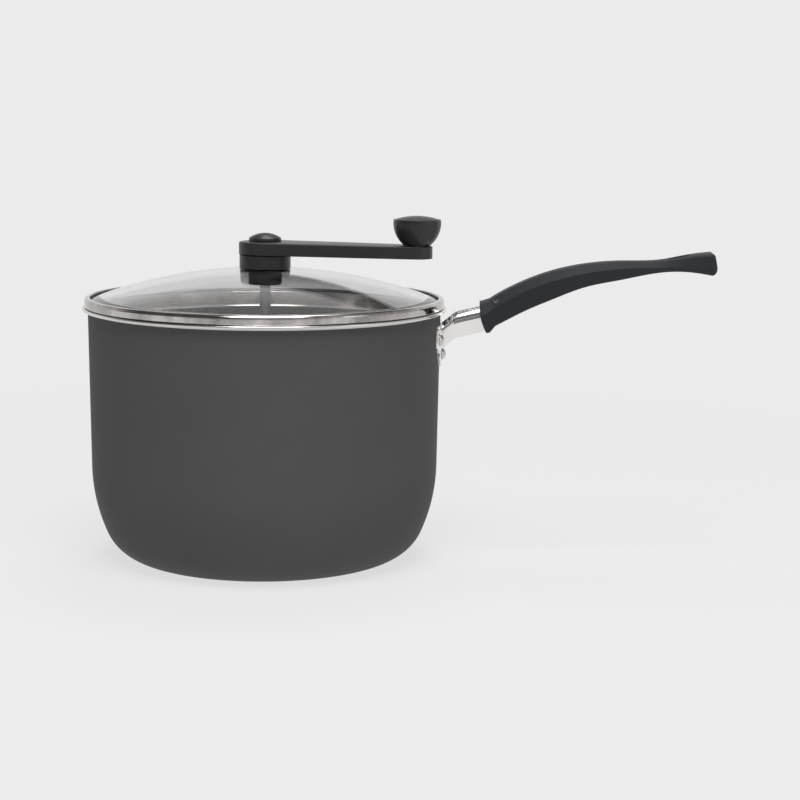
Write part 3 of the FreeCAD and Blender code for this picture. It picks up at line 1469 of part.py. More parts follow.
doc.recompute()
os.makedirs("parts", exist_ok=True)
for item in doc.Objects:
    if "Invalid" in item.State or "Error" in item.State:
        raise RuntimeError(f"{item.Label} is not up to date: {item.State}")
for node in NODES:
    shape = node.Shape
    if shape.isNull() or not shape.isValid():
        raise RuntimeError(f"{node.Label} has no valid shape")
    if len(shape.Solids) != 1:
        raise RuntimeError(f"{node.Label} has {len(shape.Solids)} solids")
for node in NODES:
    node.Shape.exportStep(f"parts/{node.Label}.step")
    box = node.Shape.BoundBox
    print(f"{node.Label:24s} {node.Shape.Volume:12.1f} mm3  x {box.XMin:7.1f} {box.XMax:7.1f}"
          f"  y {box.YMin:7.1f} {box.YMax:7.1f}  z {box.ZMin:7.1f} {box.ZMax:7.1f}")
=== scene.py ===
"""Stovetop popcorn popper: looks for the pan, its riveted handle, the glass lid and the hand crank.

Every piece is in metres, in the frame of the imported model, and rides on the body that carries it.
"""

import json
import logging
import math
from dataclasses import astuple, dataclass, field
from enum import Enum
from typing import Callable, Sequence

import bmesh
import bpy
from mathutils import Matrix, Quaternion, Vector

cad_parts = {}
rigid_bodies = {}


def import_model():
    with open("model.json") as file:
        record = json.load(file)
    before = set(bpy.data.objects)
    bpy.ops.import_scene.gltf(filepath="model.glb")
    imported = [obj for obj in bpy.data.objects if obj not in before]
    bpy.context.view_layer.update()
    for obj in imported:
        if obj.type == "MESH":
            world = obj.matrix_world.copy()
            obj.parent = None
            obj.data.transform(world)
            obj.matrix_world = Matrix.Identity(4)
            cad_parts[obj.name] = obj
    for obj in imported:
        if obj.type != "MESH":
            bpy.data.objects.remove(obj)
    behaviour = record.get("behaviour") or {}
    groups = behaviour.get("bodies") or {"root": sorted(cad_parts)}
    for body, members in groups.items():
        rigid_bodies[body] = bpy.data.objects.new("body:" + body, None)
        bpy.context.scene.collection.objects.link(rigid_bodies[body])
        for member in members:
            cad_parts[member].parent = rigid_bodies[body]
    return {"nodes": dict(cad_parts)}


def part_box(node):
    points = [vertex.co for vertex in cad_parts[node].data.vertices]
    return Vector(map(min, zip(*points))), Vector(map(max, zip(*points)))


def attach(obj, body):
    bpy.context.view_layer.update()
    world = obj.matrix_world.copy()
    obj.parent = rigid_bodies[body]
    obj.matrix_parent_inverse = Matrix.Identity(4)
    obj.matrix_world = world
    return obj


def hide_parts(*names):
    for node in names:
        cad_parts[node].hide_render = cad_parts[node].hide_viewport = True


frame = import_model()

LOG = logging.getLogger("popper")
MM = 0.001
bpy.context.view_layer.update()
CRANK_ANGLE = -12.0
Point = tuple[float, float]


class Cut(Enum):
    """How one solid changes another."""

    AWAY = "DIFFERENCE"
    KEEP = "INTERSECT"
    JOIN = "UNION"


class Plane(Enum):
    """The plane that an outline is drawn in: its two axes and the one it is extruded along."""

    PLAN = (0, 1, 2)
    SIDE = (0, 2, 1)
    END = (1, 2, 0)


class Slot(Enum):
    """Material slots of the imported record."""

    PAN = "pan_coating"
    STEEL = "polished_steel"
    RIVET = "rivet_aluminium"
    GRIP = "grip_plastic"
    BLACK = "black_moulding"
    GLASS = "lid_glass"
    SILICONE = "dark_silicone"
    NYLON = "bush_nylon"
    SHAFT = "shaft_steel"
    FASTENER = "fastener_steel"


# ------------------------------------------------------------------ outlines


@dataclass
class Corner:
    """A corner of an outline.

    Args:
        across: first coordinate.
        up: second coordinate.
        rounding: fillet radius at the corner.
        arc: radius of the arc that arrives here, positive anticlockwise, nought for a straight run.
    """

    across: float
    up: float
    rounding: float = 0.0
    arc: float = 0.0


@dataclass
class Outline:
    """Straight runs, arcs and rounded corners in one plane."""

    corners: list[Corner] = field(default_factory=list)
    closed: bool = True
    facet: float = math.radians(12)

    def to(self, across: float, up: float, rounding: float = 0.0) -> "Outline":
        """Adds a corner at the end of a straight run and returns the outline."""
        self.corners.append(Corner(across, up, rounding))
        return self

    def arc(self, across: float, up: float, radius: float) -> "Outline":
        """Adds a corner at the end of an arc and returns the outline."""
        self.corners.append(Corner(across, up, 0.0, radius))
        return self

    def points(self) -> list[Point]:
        """Returns the outline's points in order, with arcs and fillets divided evenly."""
        count = len(self.corners)
        found: list[Point] = []
        for i, corner in enumerate(self.corners):
            before = self.corners[i - 1]
            here = (corner.across, corner.up)
            if corner.arc and (i or self.closed):
                found += arc_points((before.across, before.up), here, corner.arc, self.facet / 8)[1:-1]
            after = self.corners[(i + 1) % count]
            if corner.rounding > 0:
                found += fillet_points(
                    (before.across, before.up), here, (after.across, after.up), corner.rounding, self.facet)
            else:
                found.append(here)
        return found


def arc_points(start: Point, end: Point, radius: float, facet: float) -> list[Point]:
    """Divides an arc.

    Args:
        start: first end.
        end: last end.
        radius: radius, positive anticlockwise.
        facet: largest angle of a division.

    Returns:
        Points from start to end.
    """
    turn = 1.0 if radius > 0 else -1.0
    size = abs(radius)
    half = math.dist(start, end) / 2
    along = ((end[0] - start[0]) / (2 * half), (end[1] - start[1]) / (2 * half))
    reach = math.sqrt(max(size * size - half * half, 0.0)) * turn
    centre = ((start[0] + end[0]) / 2 - along[1] * reach, (start[1] + end[1]) / 2 + along[0] * reach)
    first = math.atan2(start[1] - centre[1], start[0] - centre[0])
    sweep = 2 * math.asin(min(half / size, 1.0))
    steps = max(2, math.ceil(sweep / max(facet, 0.02)))
    return [
        (centre[0] + size * math.cos(first + turn * sweep * k / steps),
         centre[1] + size * math.sin(first + turn * sweep * k / steps))
        for k in range(steps + 1)
    ]


def fillet_points(before: Point, here: Point, after: Point, radius: float, facet: float) -> list[Point]:
    """Rounds one corner.

    Args:
        before: the corner before.
        here: the corner.
        after: the corner after.
        radius: the fillet's radius.
        facet: largest angle of a division.

    Returns:
        Points of the fillet in order.
    """
    arrive = (Vector(here) - Vector(before)).normalized()
    leave = (Vector(after) - Vector(here)).normalized()
    cross = arrive.x * leave.y - arrive.y * leave.x
    angle = abs(math.atan2(cross, arrive.dot(leave)))
    if angle < 1e-4:
        return [here]
    trim = radius * math.tan(angle / 2)
    start = Vector(here) - arrive * trim
    end = Vector(here) + leave * trim
    signed = radius if cross > 0 else -radius
    return arc_points(tuple(start), tuple(end), signed, facet)


# ------------------------------------------------------------------ workshop


def activate(piece: bpy.types.Object) -> None:
    """Selects one object alone and makes it active."""
    for other in bpy.context.view_layer.objects.selected:
        other.select_set(False)
    piece.select_set(True)
    bpy.context.view_layer.objects.active = piece


def release() -> None:
    """Leaves nothing selected."""
    for other in list(bpy.context.view_layer.objects.selected):
        other.select_set(False)


def edit(piece: bpy.types.Object, select: bool = True) -> None:
    """Opens a piece in edit mode with everything or nothing selected."""
    activate(piece)
    bpy.ops.object.mode_set(mode="EDIT")
    bpy.ops.mesh.select_all(action="SELECT" if select else "DESELECT")


def shut() -> None:
    """Goes back to object mode."""
    bpy.ops.object.mode_set(mode="OBJECT")


def choose_edges(piece: bpy.types.Object, test: Callable[[bmesh.types.BMEdge], bool]) -> None:
    """Selects the edges that pass a test, in edit mode, and nothing else."""
    bpy.ops.mesh.select_mode(type="EDGE")
    mesh = bmesh.from_edit_mesh(piece.data)
    for edge in mesh.edges:
        edge.select_set(False)
    for edge in [edge for edge in mesh.edges if test(edge)]:
        edge.select_set(True)
    bmesh.update_edit_mesh(piece.data)


def tidy(piece: bpy.types.Object) -> None:
    """Merges doubles, drops slivers and turns the faces outwards."""
    edit(piece)
    bpy.ops.mesh.remove_doubles(threshold=2e-7)
    bpy.ops.mesh.dissolve_degenerate(threshold=1e-7)
    bpy.ops.mesh.select_all(action="SELECT")
    bpy.ops.mesh.normals_make_consistent(inside=False)
    shut()


def smooth(piece: bpy.types.Object, angle: float = 32.0) -> None:
    """Shades a piece smooth up to an angle in degrees."""
    activate(piece)
    bpy.ops.object.shade_smooth_by_angle(angle=math.radians(angle))


def trace(name: str, points: Sequence[Vector], closed: bool) -> bpy.types.Object:
    """Draws a wire: a small plane is drawn together to a point, which is extruded from corner to corner.

    Args:
        name: the piece's name.
        points: the wire's points.
        closed: whether the last point joins the first.

    Returns:
        The wire, in edit mode and wholly selected.
    """
    release()
    bpy.ops.mesh.primitive_plane_add(size=MM, location=points[0])
    piece = bpy.context.object
    piece.name = piece.data.name = name
    bpy.ops.object.transform_apply(location=True, rotation=True, scale=True)
    bpy.ops.object.mode_set(mode="EDIT")
    bpy.ops.mesh.select_mode(type="VERT")
    bpy.ops.mesh.select_all(action="SELECT")
    bpy.ops.mesh.merge(type="CENTER")
    for here, after in zip(points, points[1:]):
        bpy.ops.mesh.extrude_vertices_move(TRANSFORM_OT_translate={"value": after - here})
    if closed:
        mesh = bmesh.from_edit_mesh(piece.data)
        mesh.verts.ensure_lookup_table()
        for vertex in (mesh.verts[0], mesh.verts[-1]):
            vertex.select_set(True)
        bmesh.update_edit_mesh(piece.data)
        bpy.ops.mesh.edge_face_add()
    bpy.ops.mesh.select_all(action="SELECT")
    return piece


def lathe(name: str, outline: Outline, steps: int = 192, centre: Point = (0.0, 0.0)) -> bpy.types.Object:
    """Spins an outline of radius and height about an upright axis.

    Args:
        name: the piece's name.
        outline: radius and height of each corner.
        steps: divisions of the full turn.
        centre: the axis's place in plan.

    Returns:
        The closed piece, its faces outwards.
    """
    points = [Vector((centre[0] + across, centre[1], up)) for across, up in outline.points()]
    piece = trace(name, points, outline.closed)
    bpy.ops.mesh.spin(steps=steps, angle=2 * math.pi, center=(*centre, 0.0), axis=(0, 0, 1),
                      use_auto_merge=True)
    shut()
    tidy(piece)
    return piece


def prism(name: str, outline: Outline, plane: Plane, low: float, high: float) -> bpy.types.Object:
    """Fills an outline and extrudes it.

    Args:
        name: the piece's name.
        outline: the outline in the plane's two axes.
        plane: the plane it is drawn in.
        low: where the extrusion starts.
        high: where it ends.

    Returns:
        The closed piece.
    """
    first, second, third = plane.value
    points = []
    for across, up in outline.points():
        place = Vector((0.0, 0.0, 0.0))
        place[first], place[second], place[third] = across, up, low
        points.append(place)
    piece = trace(name, points, True)
    bpy.ops.mesh.edge_face_add()
    way = Vector((0.0, 0.0, 0.0))
    way[third] = high - low
    bpy.ops.mesh.extrude_region_move(TRANSFORM_OT_translate={"value": way})
    shut()
    tidy(piece)
    return piece


def bridge(name: str, rings: Sequence[Sequence[Vector]]) -> bpy.types.Object:
    """Draws closed rings of equal count and bridges them, in order, into one solid.

    Args:
        name: the piece's name.
        rings: each ring's points.

    Returns:
        The closed piece.
    """
    drawn = []
    for ring in rings:
        drawn.append(trace(name, ring, True))
        shut()
    for other in drawn:
        other.select_set(True)
    bpy.context.view_layer.objects.active = drawn[0]
    bpy.ops.object.join()
    piece = bpy.context.object
    piece.name = piece.data.name = name
    edit(piece)
    bpy.ops.mesh.bridge_edge_loops(type="SINGLE", number_cuts=0)
    choose_edges(piece, lambda edge: edge.is_boundary)
    bpy.ops.mesh.edge_face_add()
    shut()
    tidy(piece)
    return piece


def carve(piece: bpy.types.Object, cutter: bpy.types.Object, cut: Cut) -> bpy.types.Object:
    """Cuts a piece with another, which is used up.

    Args:
        piece: the piece that stays.
        cutter: the solid it is cut with.
        cut: how it is cut.

    Returns:
        The piece.
    """
    activate(piece)
    bpy.ops.object.modifier_add(type="BOOLEAN")
    change = piece.modifiers[-1]
    change.operation = cut.value
    change.solver = "EXACT"
    change.object = cutter
    bpy.ops.object.modifier_apply(modifier=change.name)
    bpy.data.objects.remove(cutter)
    return piece


def set_down(piece: bpy.types.Object, place: Vector, turn: Quaternion) -> None:
    """Turns a piece about the origin, moves it to its place and applies both.

    Args:
        piece: a piece modelled about the origin.
        place: where the origin of its modelling goes.
        turn: how it is turned.
    """
    activate(piece)
    piece.rotation_mode = "QUATERNION"
    piece.rotation_quaternion = turn
    piece.location = place
    bpy.ops.object.transform_apply(location=True, rotation=True, scale=True)


def about(axis: str, degrees: float) -> Quaternion:
    """Returns a turn by degrees about a named axis."""
    return Matrix.Rotation(math.radians(degrees), 3, axis).to_quaternion()


def outwards(azimuth: float) -> Quaternion:
    """Returns the turn that points an upright piece straight out of the pan's wall."""
    return about("Z", azimuth) @ about("Y", 90)


def soften(piece: bpy.types.Object, width: float, segments: int = 2, angle: float = 40.0) -> None:
    """Breaks a piece's sharp edges with a small bevel, applied.

    Args:
        piece: the piece.
        width: the bevel's width.
        segments: its divisions.
        angle: edges sharper than this many degrees are bevelled.
    """
    activate(piece)
    bpy.ops.object.modifier_add(type="BEVEL")
    change = piece.modifiers[-1]
    change.width = width
    change.segments = segments
    change.limit_method = "ANGLE"
    change.angle_limit = math.radians(angle)
    change.use_clamp_overlap = True
    change.miter_outer = "MITER_ARC"
    bpy.ops.object.modifier_apply(modifier=change.name)


def weigh_normals(piece: bpy.types.Object) -> None:
    """Leans a piece's normals on its large faces, so that flats stay flat beside their roundings."""
    activate(piece)
    bpy.ops.object.modifier_add(type="WEIGHTED_NORMAL")
    change = piece.modifiers[-1]
    change.keep_sharp = True
    bpy.ops.object.modifier_apply(modifier=change.name)


def hand_over(piece: bpy.types.Object, body: str, slot: Slot, materials: Sequence[bpy.types.Material],
              *nodes: str) -> bpy.types.Object:
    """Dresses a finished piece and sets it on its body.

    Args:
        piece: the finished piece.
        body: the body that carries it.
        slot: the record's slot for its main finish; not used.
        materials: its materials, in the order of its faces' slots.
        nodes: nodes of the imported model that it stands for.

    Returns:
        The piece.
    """
    if not piece.data.materials:
        for material in materials:
            piece.data.materials.append(material)
    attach(piece, body)
    if nodes:
        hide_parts(*nodes)
    LOG.info("%s rides on %s with %d faces", piece.name, body, len(piece.data.polygons))
    return piece


def dress_node(name: str, material: bpy.types.Material) -> None:
    """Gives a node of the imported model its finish."""
    node = frame["nodes"][name]
    for holder in node.material_slots:
        holder.material = material
    LOG.info("%s keeps its own mesh and takes %s", name, material.name)


# ------------------------------------------------------------------ shader building


def tone(red: float, green: float, blue: float) -> tuple[float, float, float, float]:
    """Turns display values from 0 to 255 into a linear colour."""
    def linear(value: float) -> float:
        """One display value as linear light."""
        value /= 255
        return value / 12.92 if value <= 0.04045 else ((value + 0.055) / 1.055) ** 2.4

    return linear(red), linear(green), linear(blue), 1.0


class Graph:
    """A node tree under construction."""

    def __init__(self, tree: bpy.types.NodeTree) -> None:
        """Starts with an empty tree."""
        self.tree = tree
        tree.nodes.clear()

    def add(self, kind: str, inputs: dict | None = None, **settings: object) -> bpy.types.Node:
        """Adds a node.

        Args:
            kind: the node's type name.
            inputs: values or sockets for its inputs, by name or number.
            settings: the node's own properties.

        Returns:
            The node.
        """
        node = self.tree.nodes.new(kind)
        for name, value in settings.items():
            setattr(node, name, value)
        self.fill(node, inputs or {})
        return node

    def math(self, operation: str, first: object, second: object = 0.0) -> bpy.types.NodeSocket:
        """A sum, product or other operation on two numbers; returns its result."""
        node = self.add("ShaderNodeMath", {0: first, 1: second}, operation=operation)
        return node.outputs[0]

    def spread(self, value: bpy.types.NodeSocket, low: float, high: float, start: float = 0.0,
               end: float = 1.0) -> bpy.types.NodeSocket:
        """Maps a number from start..end to low..high, clamped."""
        node = self.add("ShaderNodeMapRange",
                        {"Value": value, "From Min": start, "From Max": end, "To Min": low, "To Max": high})
        return node.outputs["Result"]

    def mix(self, factor: object, first: object, second: object) -> bpy.types.NodeSocket:
        """Mixes two colours; returns the colour."""
        return self.add("ShaderNodeMix", {0: factor, 6: first, 7: second}, data_type="RGBA").outputs[2]

    def use(self, group: bpy.types.NodeTree, inputs: dict) -> bpy.types.Node:
        """Places a shared node group with its own values."""
        node = self.add("ShaderNodeGroup", node_tree=group)
        self.fill(node, inputs)
        return node

    def fill(self, node: bpy.types.Node, inputs: dict) -> None:
        """Gives a node's inputs their values or links, by name or number."""
        for name, value in inputs.items():
            if isinstance(value, bpy.types.NodeSocket):
                self.tree.links.new(value, node.inputs[name])
            else:
                node.inputs[name].default_value = value


def new_group(name: str, inputs: dict[str, float | None], outputs: Sequence[str]) -> tuple[Graph, dict]:
    """Starts a shared node group.

    Args:
        name: the group's name.
        inputs: each input and its value, None for a vector.
        outputs: names of its outputs.

    Returns:
        The group's graph and its input sockets by name.
    """
    tree = bpy.data.node_groups.new(name, "ShaderNodeTree")
    for label, value in inputs.items():
        kind = "NodeSocketVector" if value is None else "NodeSocketFloat"
        socket = tree.interface.new_socket(label, in_out="INPUT", socket_type=kind)
        if value is not None:
            socket.default_value = value
    for label in outputs:
        tree.interface.new_socket(label, in_out="OUTPUT", socket_type="NodeSocketFloat")
    graph = Graph(tree)
    source = graph.add("NodeGroupInput")
    return graph, {label: source.outputs[label] for label in inputs}


class Effects:
    """Shared effects, each a node group that is built once."""

    def __init__(self) -> None:
        """Builds the groups."""
        self.grain = self._grain()
        self.turning = self._turning()
        self.handling = self._handling()
        self.speckle = self._speckle()

    @staticmethod
    def _grain() -> bpy.types.NodeTree:
        """Fine even grain of a moulded or sprayed surface."""
        graph, source = new_group("surface_grain", {"Vector": None, "Grain": 2600.0}, ["Height", "Mask"])
        fine = graph.add("ShaderNodeTexNoise", {
            "Vector": source["Vector"], "Scale": source["Grain"], "Detail": 3.0, "Roughness": 0.6})
        coarse = graph.add("ShaderNodeTexNoise", {
            "Vector": source["Vector"], "Scale": graph.math("MULTIPLY", source["Grain"], 0.31),
            "Detail": 2.0, "Roughness": 0.5})
        height = graph.math("ADD", graph.math("MULTIPLY", fine.outputs["Fac"], 0.7),
                            graph.math("MULTIPLY", coarse.outputs["Fac"], 0.3))
        graph.add("NodeGroupOutput", {"Height": height, "Mask": graph.spread(height, 0.0, 1.0, 0.38, 0.62)})
        return graph.tree

    @staticmethod
    def _turning() -> bpy.types.NodeTree:
        """Marks that run round an upright axis, as left by spinning and polishing."""
        graph, source = new_group("turning_marks", {"Vector": None, "Fineness": 1500.0}, ["Height", "Streak"])
        parts = graph.add("ShaderNodeSeparateXYZ", {0: source["Vector"]})
        plan = graph.add("ShaderNodeCombineXYZ", {0: parts.outputs[0], 1: parts.outputs[1]})
        radius = graph.add("ShaderNodeVectorMath", {0: plan.outputs[0]}, operation="LENGTH")
        flat = graph.add("ShaderNodeCombineXYZ", {0: radius.outputs["Value"], 1: parts.outputs[2]})
        rings = graph.add("ShaderNodeTexNoise", {
            "Vector": flat.outputs[0], "Scale": source["Fineness"], "Detail": 4.0, "Roughness": 0.7})
        soft = graph.add("ShaderNodeTexNoise", {
            "Vector": source["Vector"], "Scale": 34.0, "Detail": 2.0, "Roughness": 0.5})
        streak = graph.math("MULTIPLY", rings.outputs["Fac"], graph.spread(soft.outputs["Fac"], 0.5, 1.2, 0.3, 0.7))
        graph.add("NodeGroupOutput", {"Height": rings.outputs["Fac"], "Streak": streak})
        return graph.tree

    @staticmethod
    def _handling() -> bpy.types.NodeTree:
        """Broad soft patches that handling leaves."""
        graph, source = new_group("handling", {"Vector": None, "Patch": 22.0}, ["Patches"])
        broad = graph.add("ShaderNodeTexNoise", {
            "Vector": source["Vector"], "Scale": source["Patch"], "Detail": 5.0, "Roughness": 0.62})
        graph.add("NodeGroupOutput", {"Patches": graph.spread(broad.outputs["Fac"], 0.0, 1.0, 0.34, 0.66)})
        return graph.tree

    @staticmethod
    def _speckle() -> bpy.types.NodeTree:
        """Sparse pale flecks of a sprayed release coating."""
        graph, source = new_group("coating_speckle", {"Vector": None, "Spacing": 420.0}, ["Flecks"])
        cells = graph.add("ShaderNodeTexVoronoi", {"Vector": source["Vector"], "Scale": source["Spacing"]})
        size = graph.add("ShaderNodeSeparateColor", {0: cells.outputs["Color"]})
        limit = graph.spread(size.outputs[0], 0.0, 0.24, 0.55, 1.0)
        near = graph.math("LESS_THAN", cells.outputs["Distance"], limit)
        graph.add("NodeGroupOutput", {"Flecks": near})
        return graph.tree


@dataclass(frozen=True)
class Finish:
    """What every finish has: its name, two close tones and a range of roughness."""

    name: str
    colour: tuple[float, float, float, float]
    second: tuple[float, float, float, float]
    rough: tuple[float, float] = (0.4, 0.5)
    bump: float = 0.02
    centre: tuple[float, float, float] = (0.0, 0.0, 0.0)

    def start(self) -> tuple[bpy.types.Material, Graph, bpy.types.Node, bpy.types.NodeSocket]:
        """Makes a material with one Principled shader; returns it, its graph, the shader and the place."""
        material = bpy.data.materials.new(self.name)
        material.use_nodes = True
        graph = Graph(material.node_tree)
        place = graph.add("ShaderNodeTexCoord").outputs["Object"]
        moved = graph.add("ShaderNodeMapping", {"Vector": place, "Location": [-value for value in self.centre]})
        shader = graph.add("ShaderNodeBsdfPrincipled")
        graph.add("ShaderNodeOutputMaterial", {"Surface": shader.outputs[0]})
        return material, graph, shader, moved.outputs[0]

    def relief(self, graph: Graph, shader: bpy.types.Node, height: bpy.types.NodeSocket,
               distance: float) -> None:
        """Feeds a height to the shader's normal."""
        node = graph.add("ShaderNodeBump", {"Height": height, "Strength": self.bump, "Distance": distance})
        graph.tree.links.new(node.outputs[0], shader.inputs["Normal"])


@dataclass(frozen=True)
class Moulding(Finish):
    """Moulded plastic or rubber: fine grain, soft patches of handling."""

    grain: float = 2600.0
    level: float = 0.5

    def build(self, effects: Effects) -> bpy.types.Material:
        """Returns the material."""
        material, graph, shader, place = self.start()
        grain = graph.use(effects.grain, {"Vector": place, "Grain": self.grain})
        worn = graph.use(effects.handling, {"Vector": place})
        shader.inputs["Specular IOR Level"].default_value = self.level
        shade = graph.math("ADD", graph.math("MULTIPLY", grain.outputs["Mask"], 0.55),
                           graph.math("MULTIPLY", worn.outputs["Patches"], 0.45))
        graph.tree.links.new(graph.mix(shade, self.colour, self.second), shader.inputs["Base Color"])
        rough = graph.math("ADD", graph.spread(worn.outputs["Patches"], *self.rough),
                           graph.math("MULTIPLY", grain.outputs["Mask"], 0.05))
        graph.tree.links.new(rough, shader.inputs["Roughness"])
        self.relief(graph, shader, grain.outputs["Height"], 0.0004)
        return material


@dataclass(frozen=True)
class Metal(Finish):
    """Bare metal with marks that run round its axis."""

    fineness: float = 1500.0
    cloud: float = 0.0

    def build(self, effects: Effects) -> bpy.types.Material:
        """Returns the material."""
        material, graph, shader, place = self.start()
        marks = graph.use(effects.turning, {"Vector": place, "Fineness": self.fineness})
        worn = graph.use(effects.handling, {"Vector": place, "Patch": 38.0})
        shader.inputs["Metallic"].default_value = 1.0
        shade = graph.mix(marks.outputs["Streak"], self.colour, self.second)
        if self.cloud:
            dull = [value * (1 - self.cloud) for value in self.second[:3]] + [1.0]
            shade = graph.mix(worn.outputs["Patches"], shade, dull)
        graph.tree.links.new(shade, shader.inputs["Base Color"])
        rough = graph.math("ADD", graph.spread(marks.outputs["Streak"], *self.rough, 0.2, 0.8),
                           graph.math("MULTIPLY", worn.outputs["Patches"], 0.04))
        graph.tree.links.new(rough, shader.inputs["Roughness"])
        self.relief(graph, shader, marks.outputs["Height"], 0.0003)
        return material


@dataclass(frozen=True)
class Coating(Finish):
    """The pan's sprayed coating: satin, with a fine orange peel and flecks where it has them."""

    flecks: float = 0.0
    fleck: tuple[float, float, float, float] = (0.3, 0.3, 0.3, 1.0)
    level: float = 0.5

    def build(self, effects: Effects) -> bpy.types.Material:
        """Returns the material."""
        material, graph, shader, place = self.start()
        grain = graph.use(effects.grain, {"Vector": place, "Grain": 1500.0})
        worn = graph.use(effects.handling, {"Vector": place, "Patch": 9.0})
        shader.inputs["Specular IOR Level"].default_value = self.level
        shade = graph.math("ADD", graph.math("MULTIPLY", grain.outputs["Mask"], 0.5),
                           graph.math("MULTIPLY", worn.outputs["Patches"], 0.5))
        base = graph.mix(shade, self.colour, self.second)
        if self.flecks:
            dots = graph.use(effects.speckle, {"Vector": place, "Spacing": 380.0})
            base = graph.mix(graph.math("MULTIPLY", dots.outputs["Flecks"], self.flecks), base, self.fleck)
        graph.tree.links.new(base, shader.inputs["Base Color"])
        rough = graph.math("ADD", graph.spread(worn.outputs["Patches"], *self.rough),
                           graph.math("MULTIPLY", grain.outputs["Mask"], 0.04))
        graph.tree.links.new(rough, shader.inputs["Roughness"])
        self.relief(graph, shader, grain.outputs["Height"], 0.0005)
        return material


@dataclass(frozen=True)
class Glass(Finish):
    """Clear tempered glass that lets lamps through."""

    def build(self, effects: Effects) -> bpy.types.Material:
        """Returns the material."""
        material, graph, shader, place = self.start()
        shader.inputs["Transmission Weight"].default_value = 1.0
        shader.inputs["IOR"].default_value = 1.48
        worn = graph.use(effects.handling, {"Vector": place, "Patch": 14.0})
        graph.tree.links.new(graph.mix(worn.outputs["Patches"], self.colour, self.second),
                             shader.inputs["Base Color"])
        graph.tree.links.new(graph.spread(worn.outputs["Patches"], *self.rough), shader.inputs["Roughness"])
        clear = graph.add("ShaderNodeBsdfTransparent", {"Color": (0.93, 0.94, 0.93, 1.0)})
        path = graph.add("ShaderNodeLightPath")
        both = graph.add("ShaderNodeMixShader", {
            0: path.outputs["Is Shadow Ray"], 1: shader.outputs[0], 2: clear.outputs[0]})
        output = next(node for node in graph.tree.nodes if node.type == "OUTPUT_MATERIAL")
        graph.tree.links.new(both.outputs[0], output.inputs["Surface"])
        return material


KNOB_AXIS = tuple((low + high) / 2 for low, high in zip(*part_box("crank_knob")))


class Finishes:
    """Every material of the popper."""

    def __init__(self) -> None:
        """Builds the shared effects and the materials."""
        effects = Effects()
        self.pan = Coating("graphite_coating", tone(83, 82, 82), tone(88, 87, 87), (0.46, 0.54), 0.05,
                           level=0.02).build(effects)
        self.inside = Coating("release_coating", tone(24, 24, 25), tone(31, 31, 32), (0.34, 0.44), 0.05,
                              flecks=0.5, fleck=tone(112, 112, 114), level=0.35).build(effects)
        self.lip = Metal("bare_aluminium_lip", tone(228, 226, 224), tone(205, 203, 201), (0.16, 0.28),
                         0.05, fineness=2200.0).build(effects)
        self.base = Metal("turned_aluminium_base", tone(206, 206, 207), tone(160, 160, 162), (0.24, 0.42),
                          0.35, fineness=900.0).build(effects)
        self.steel = Metal("polished_steel", tone(212, 207, 205), tone(184, 179, 177), (0.07, 0.15),
                           0.03, fineness=1900.0, cloud=0.42).build(effects)
        self.bracket = Metal("pressed_steel", tone(245, 244, 243), tone(232, 230, 229), (0.16, 0.26),
                             0.02, fineness=900.0).build(effects)
        # Darker steel for a strip along the lower edge of the bracket's back: painted shade, a dark line that light
        # would otherwise make.
        self.seam = Metal("painted_shade_strip", tone(150, 148, 146), tone(118, 117, 116), (0.2, 0.32),
                          0.03, fineness=900.0).build(effects)
        self.rivet = Metal("rivet_aluminium", tone(214, 213, 212), tone(180, 179, 178), (0.2, 0.34),
                           0.06, fineness=1200.0).build(effects)
        self.shaft = Metal("shaft_steel", tone(140, 140, 140), tone(108, 108, 108), (0.28, 0.4),
                           0.06, fineness=2600.0).build(effects)
        self.fastener = Metal("fastener_steel", tone(190, 188, 184), tone(150, 148, 145), (0.22, 0.34),
                              0.05, fineness=1800.0).build(effects)
        self.blackened = Moulding("blackened_steel", tone(88, 88, 90), tone(74, 74, 76), (0.46, 0.56),
                                  0.04, grain=1800.0, level=0.4).build(effects)
        self.black = Moulding("black_moulding", tone(33, 32, 34), tone(42, 41, 43), (0.3, 0.38), 0.06,
                              grain=2400.0, level=0.45).build(effects)
        self.knob = Moulding("knob_moulding", tone(31, 29, 31), tone(39, 37, 40), (0.3, 0.38), 0.05,
                             KNOB_AXIS, grain=2600.0, level=0.45).build(effects)
        self.grip = Moulding("grip_plastic", tone(37, 39, 43), tone(44, 46, 50), (0.5, 0.58), 0.09,
                             grain=1900.0, level=0.22).build(effects)
        self.silicone = Moulding("dark_silicone", tone(44, 44, 46), tone(58, 58, 60), (0.5, 0.62), 0.05,
                                 grain=1500.0, level=0.4).build(effects)
        self.nylon = Moulding("bush_nylon", tone(214, 210, 200), tone(196, 192, 182), (0.42, 0.54), 0.04,
                              grain=1500.0, level=0.45).build(effects)
        self.glass = Glass("lid_glass", (0.955, 0.96, 0.955, 1.0), (0.935, 0.942, 0.937, 1.0), (0.0, 0.004),
                           0.0).build(effects)


# ------------------------------------------------------------------ pan


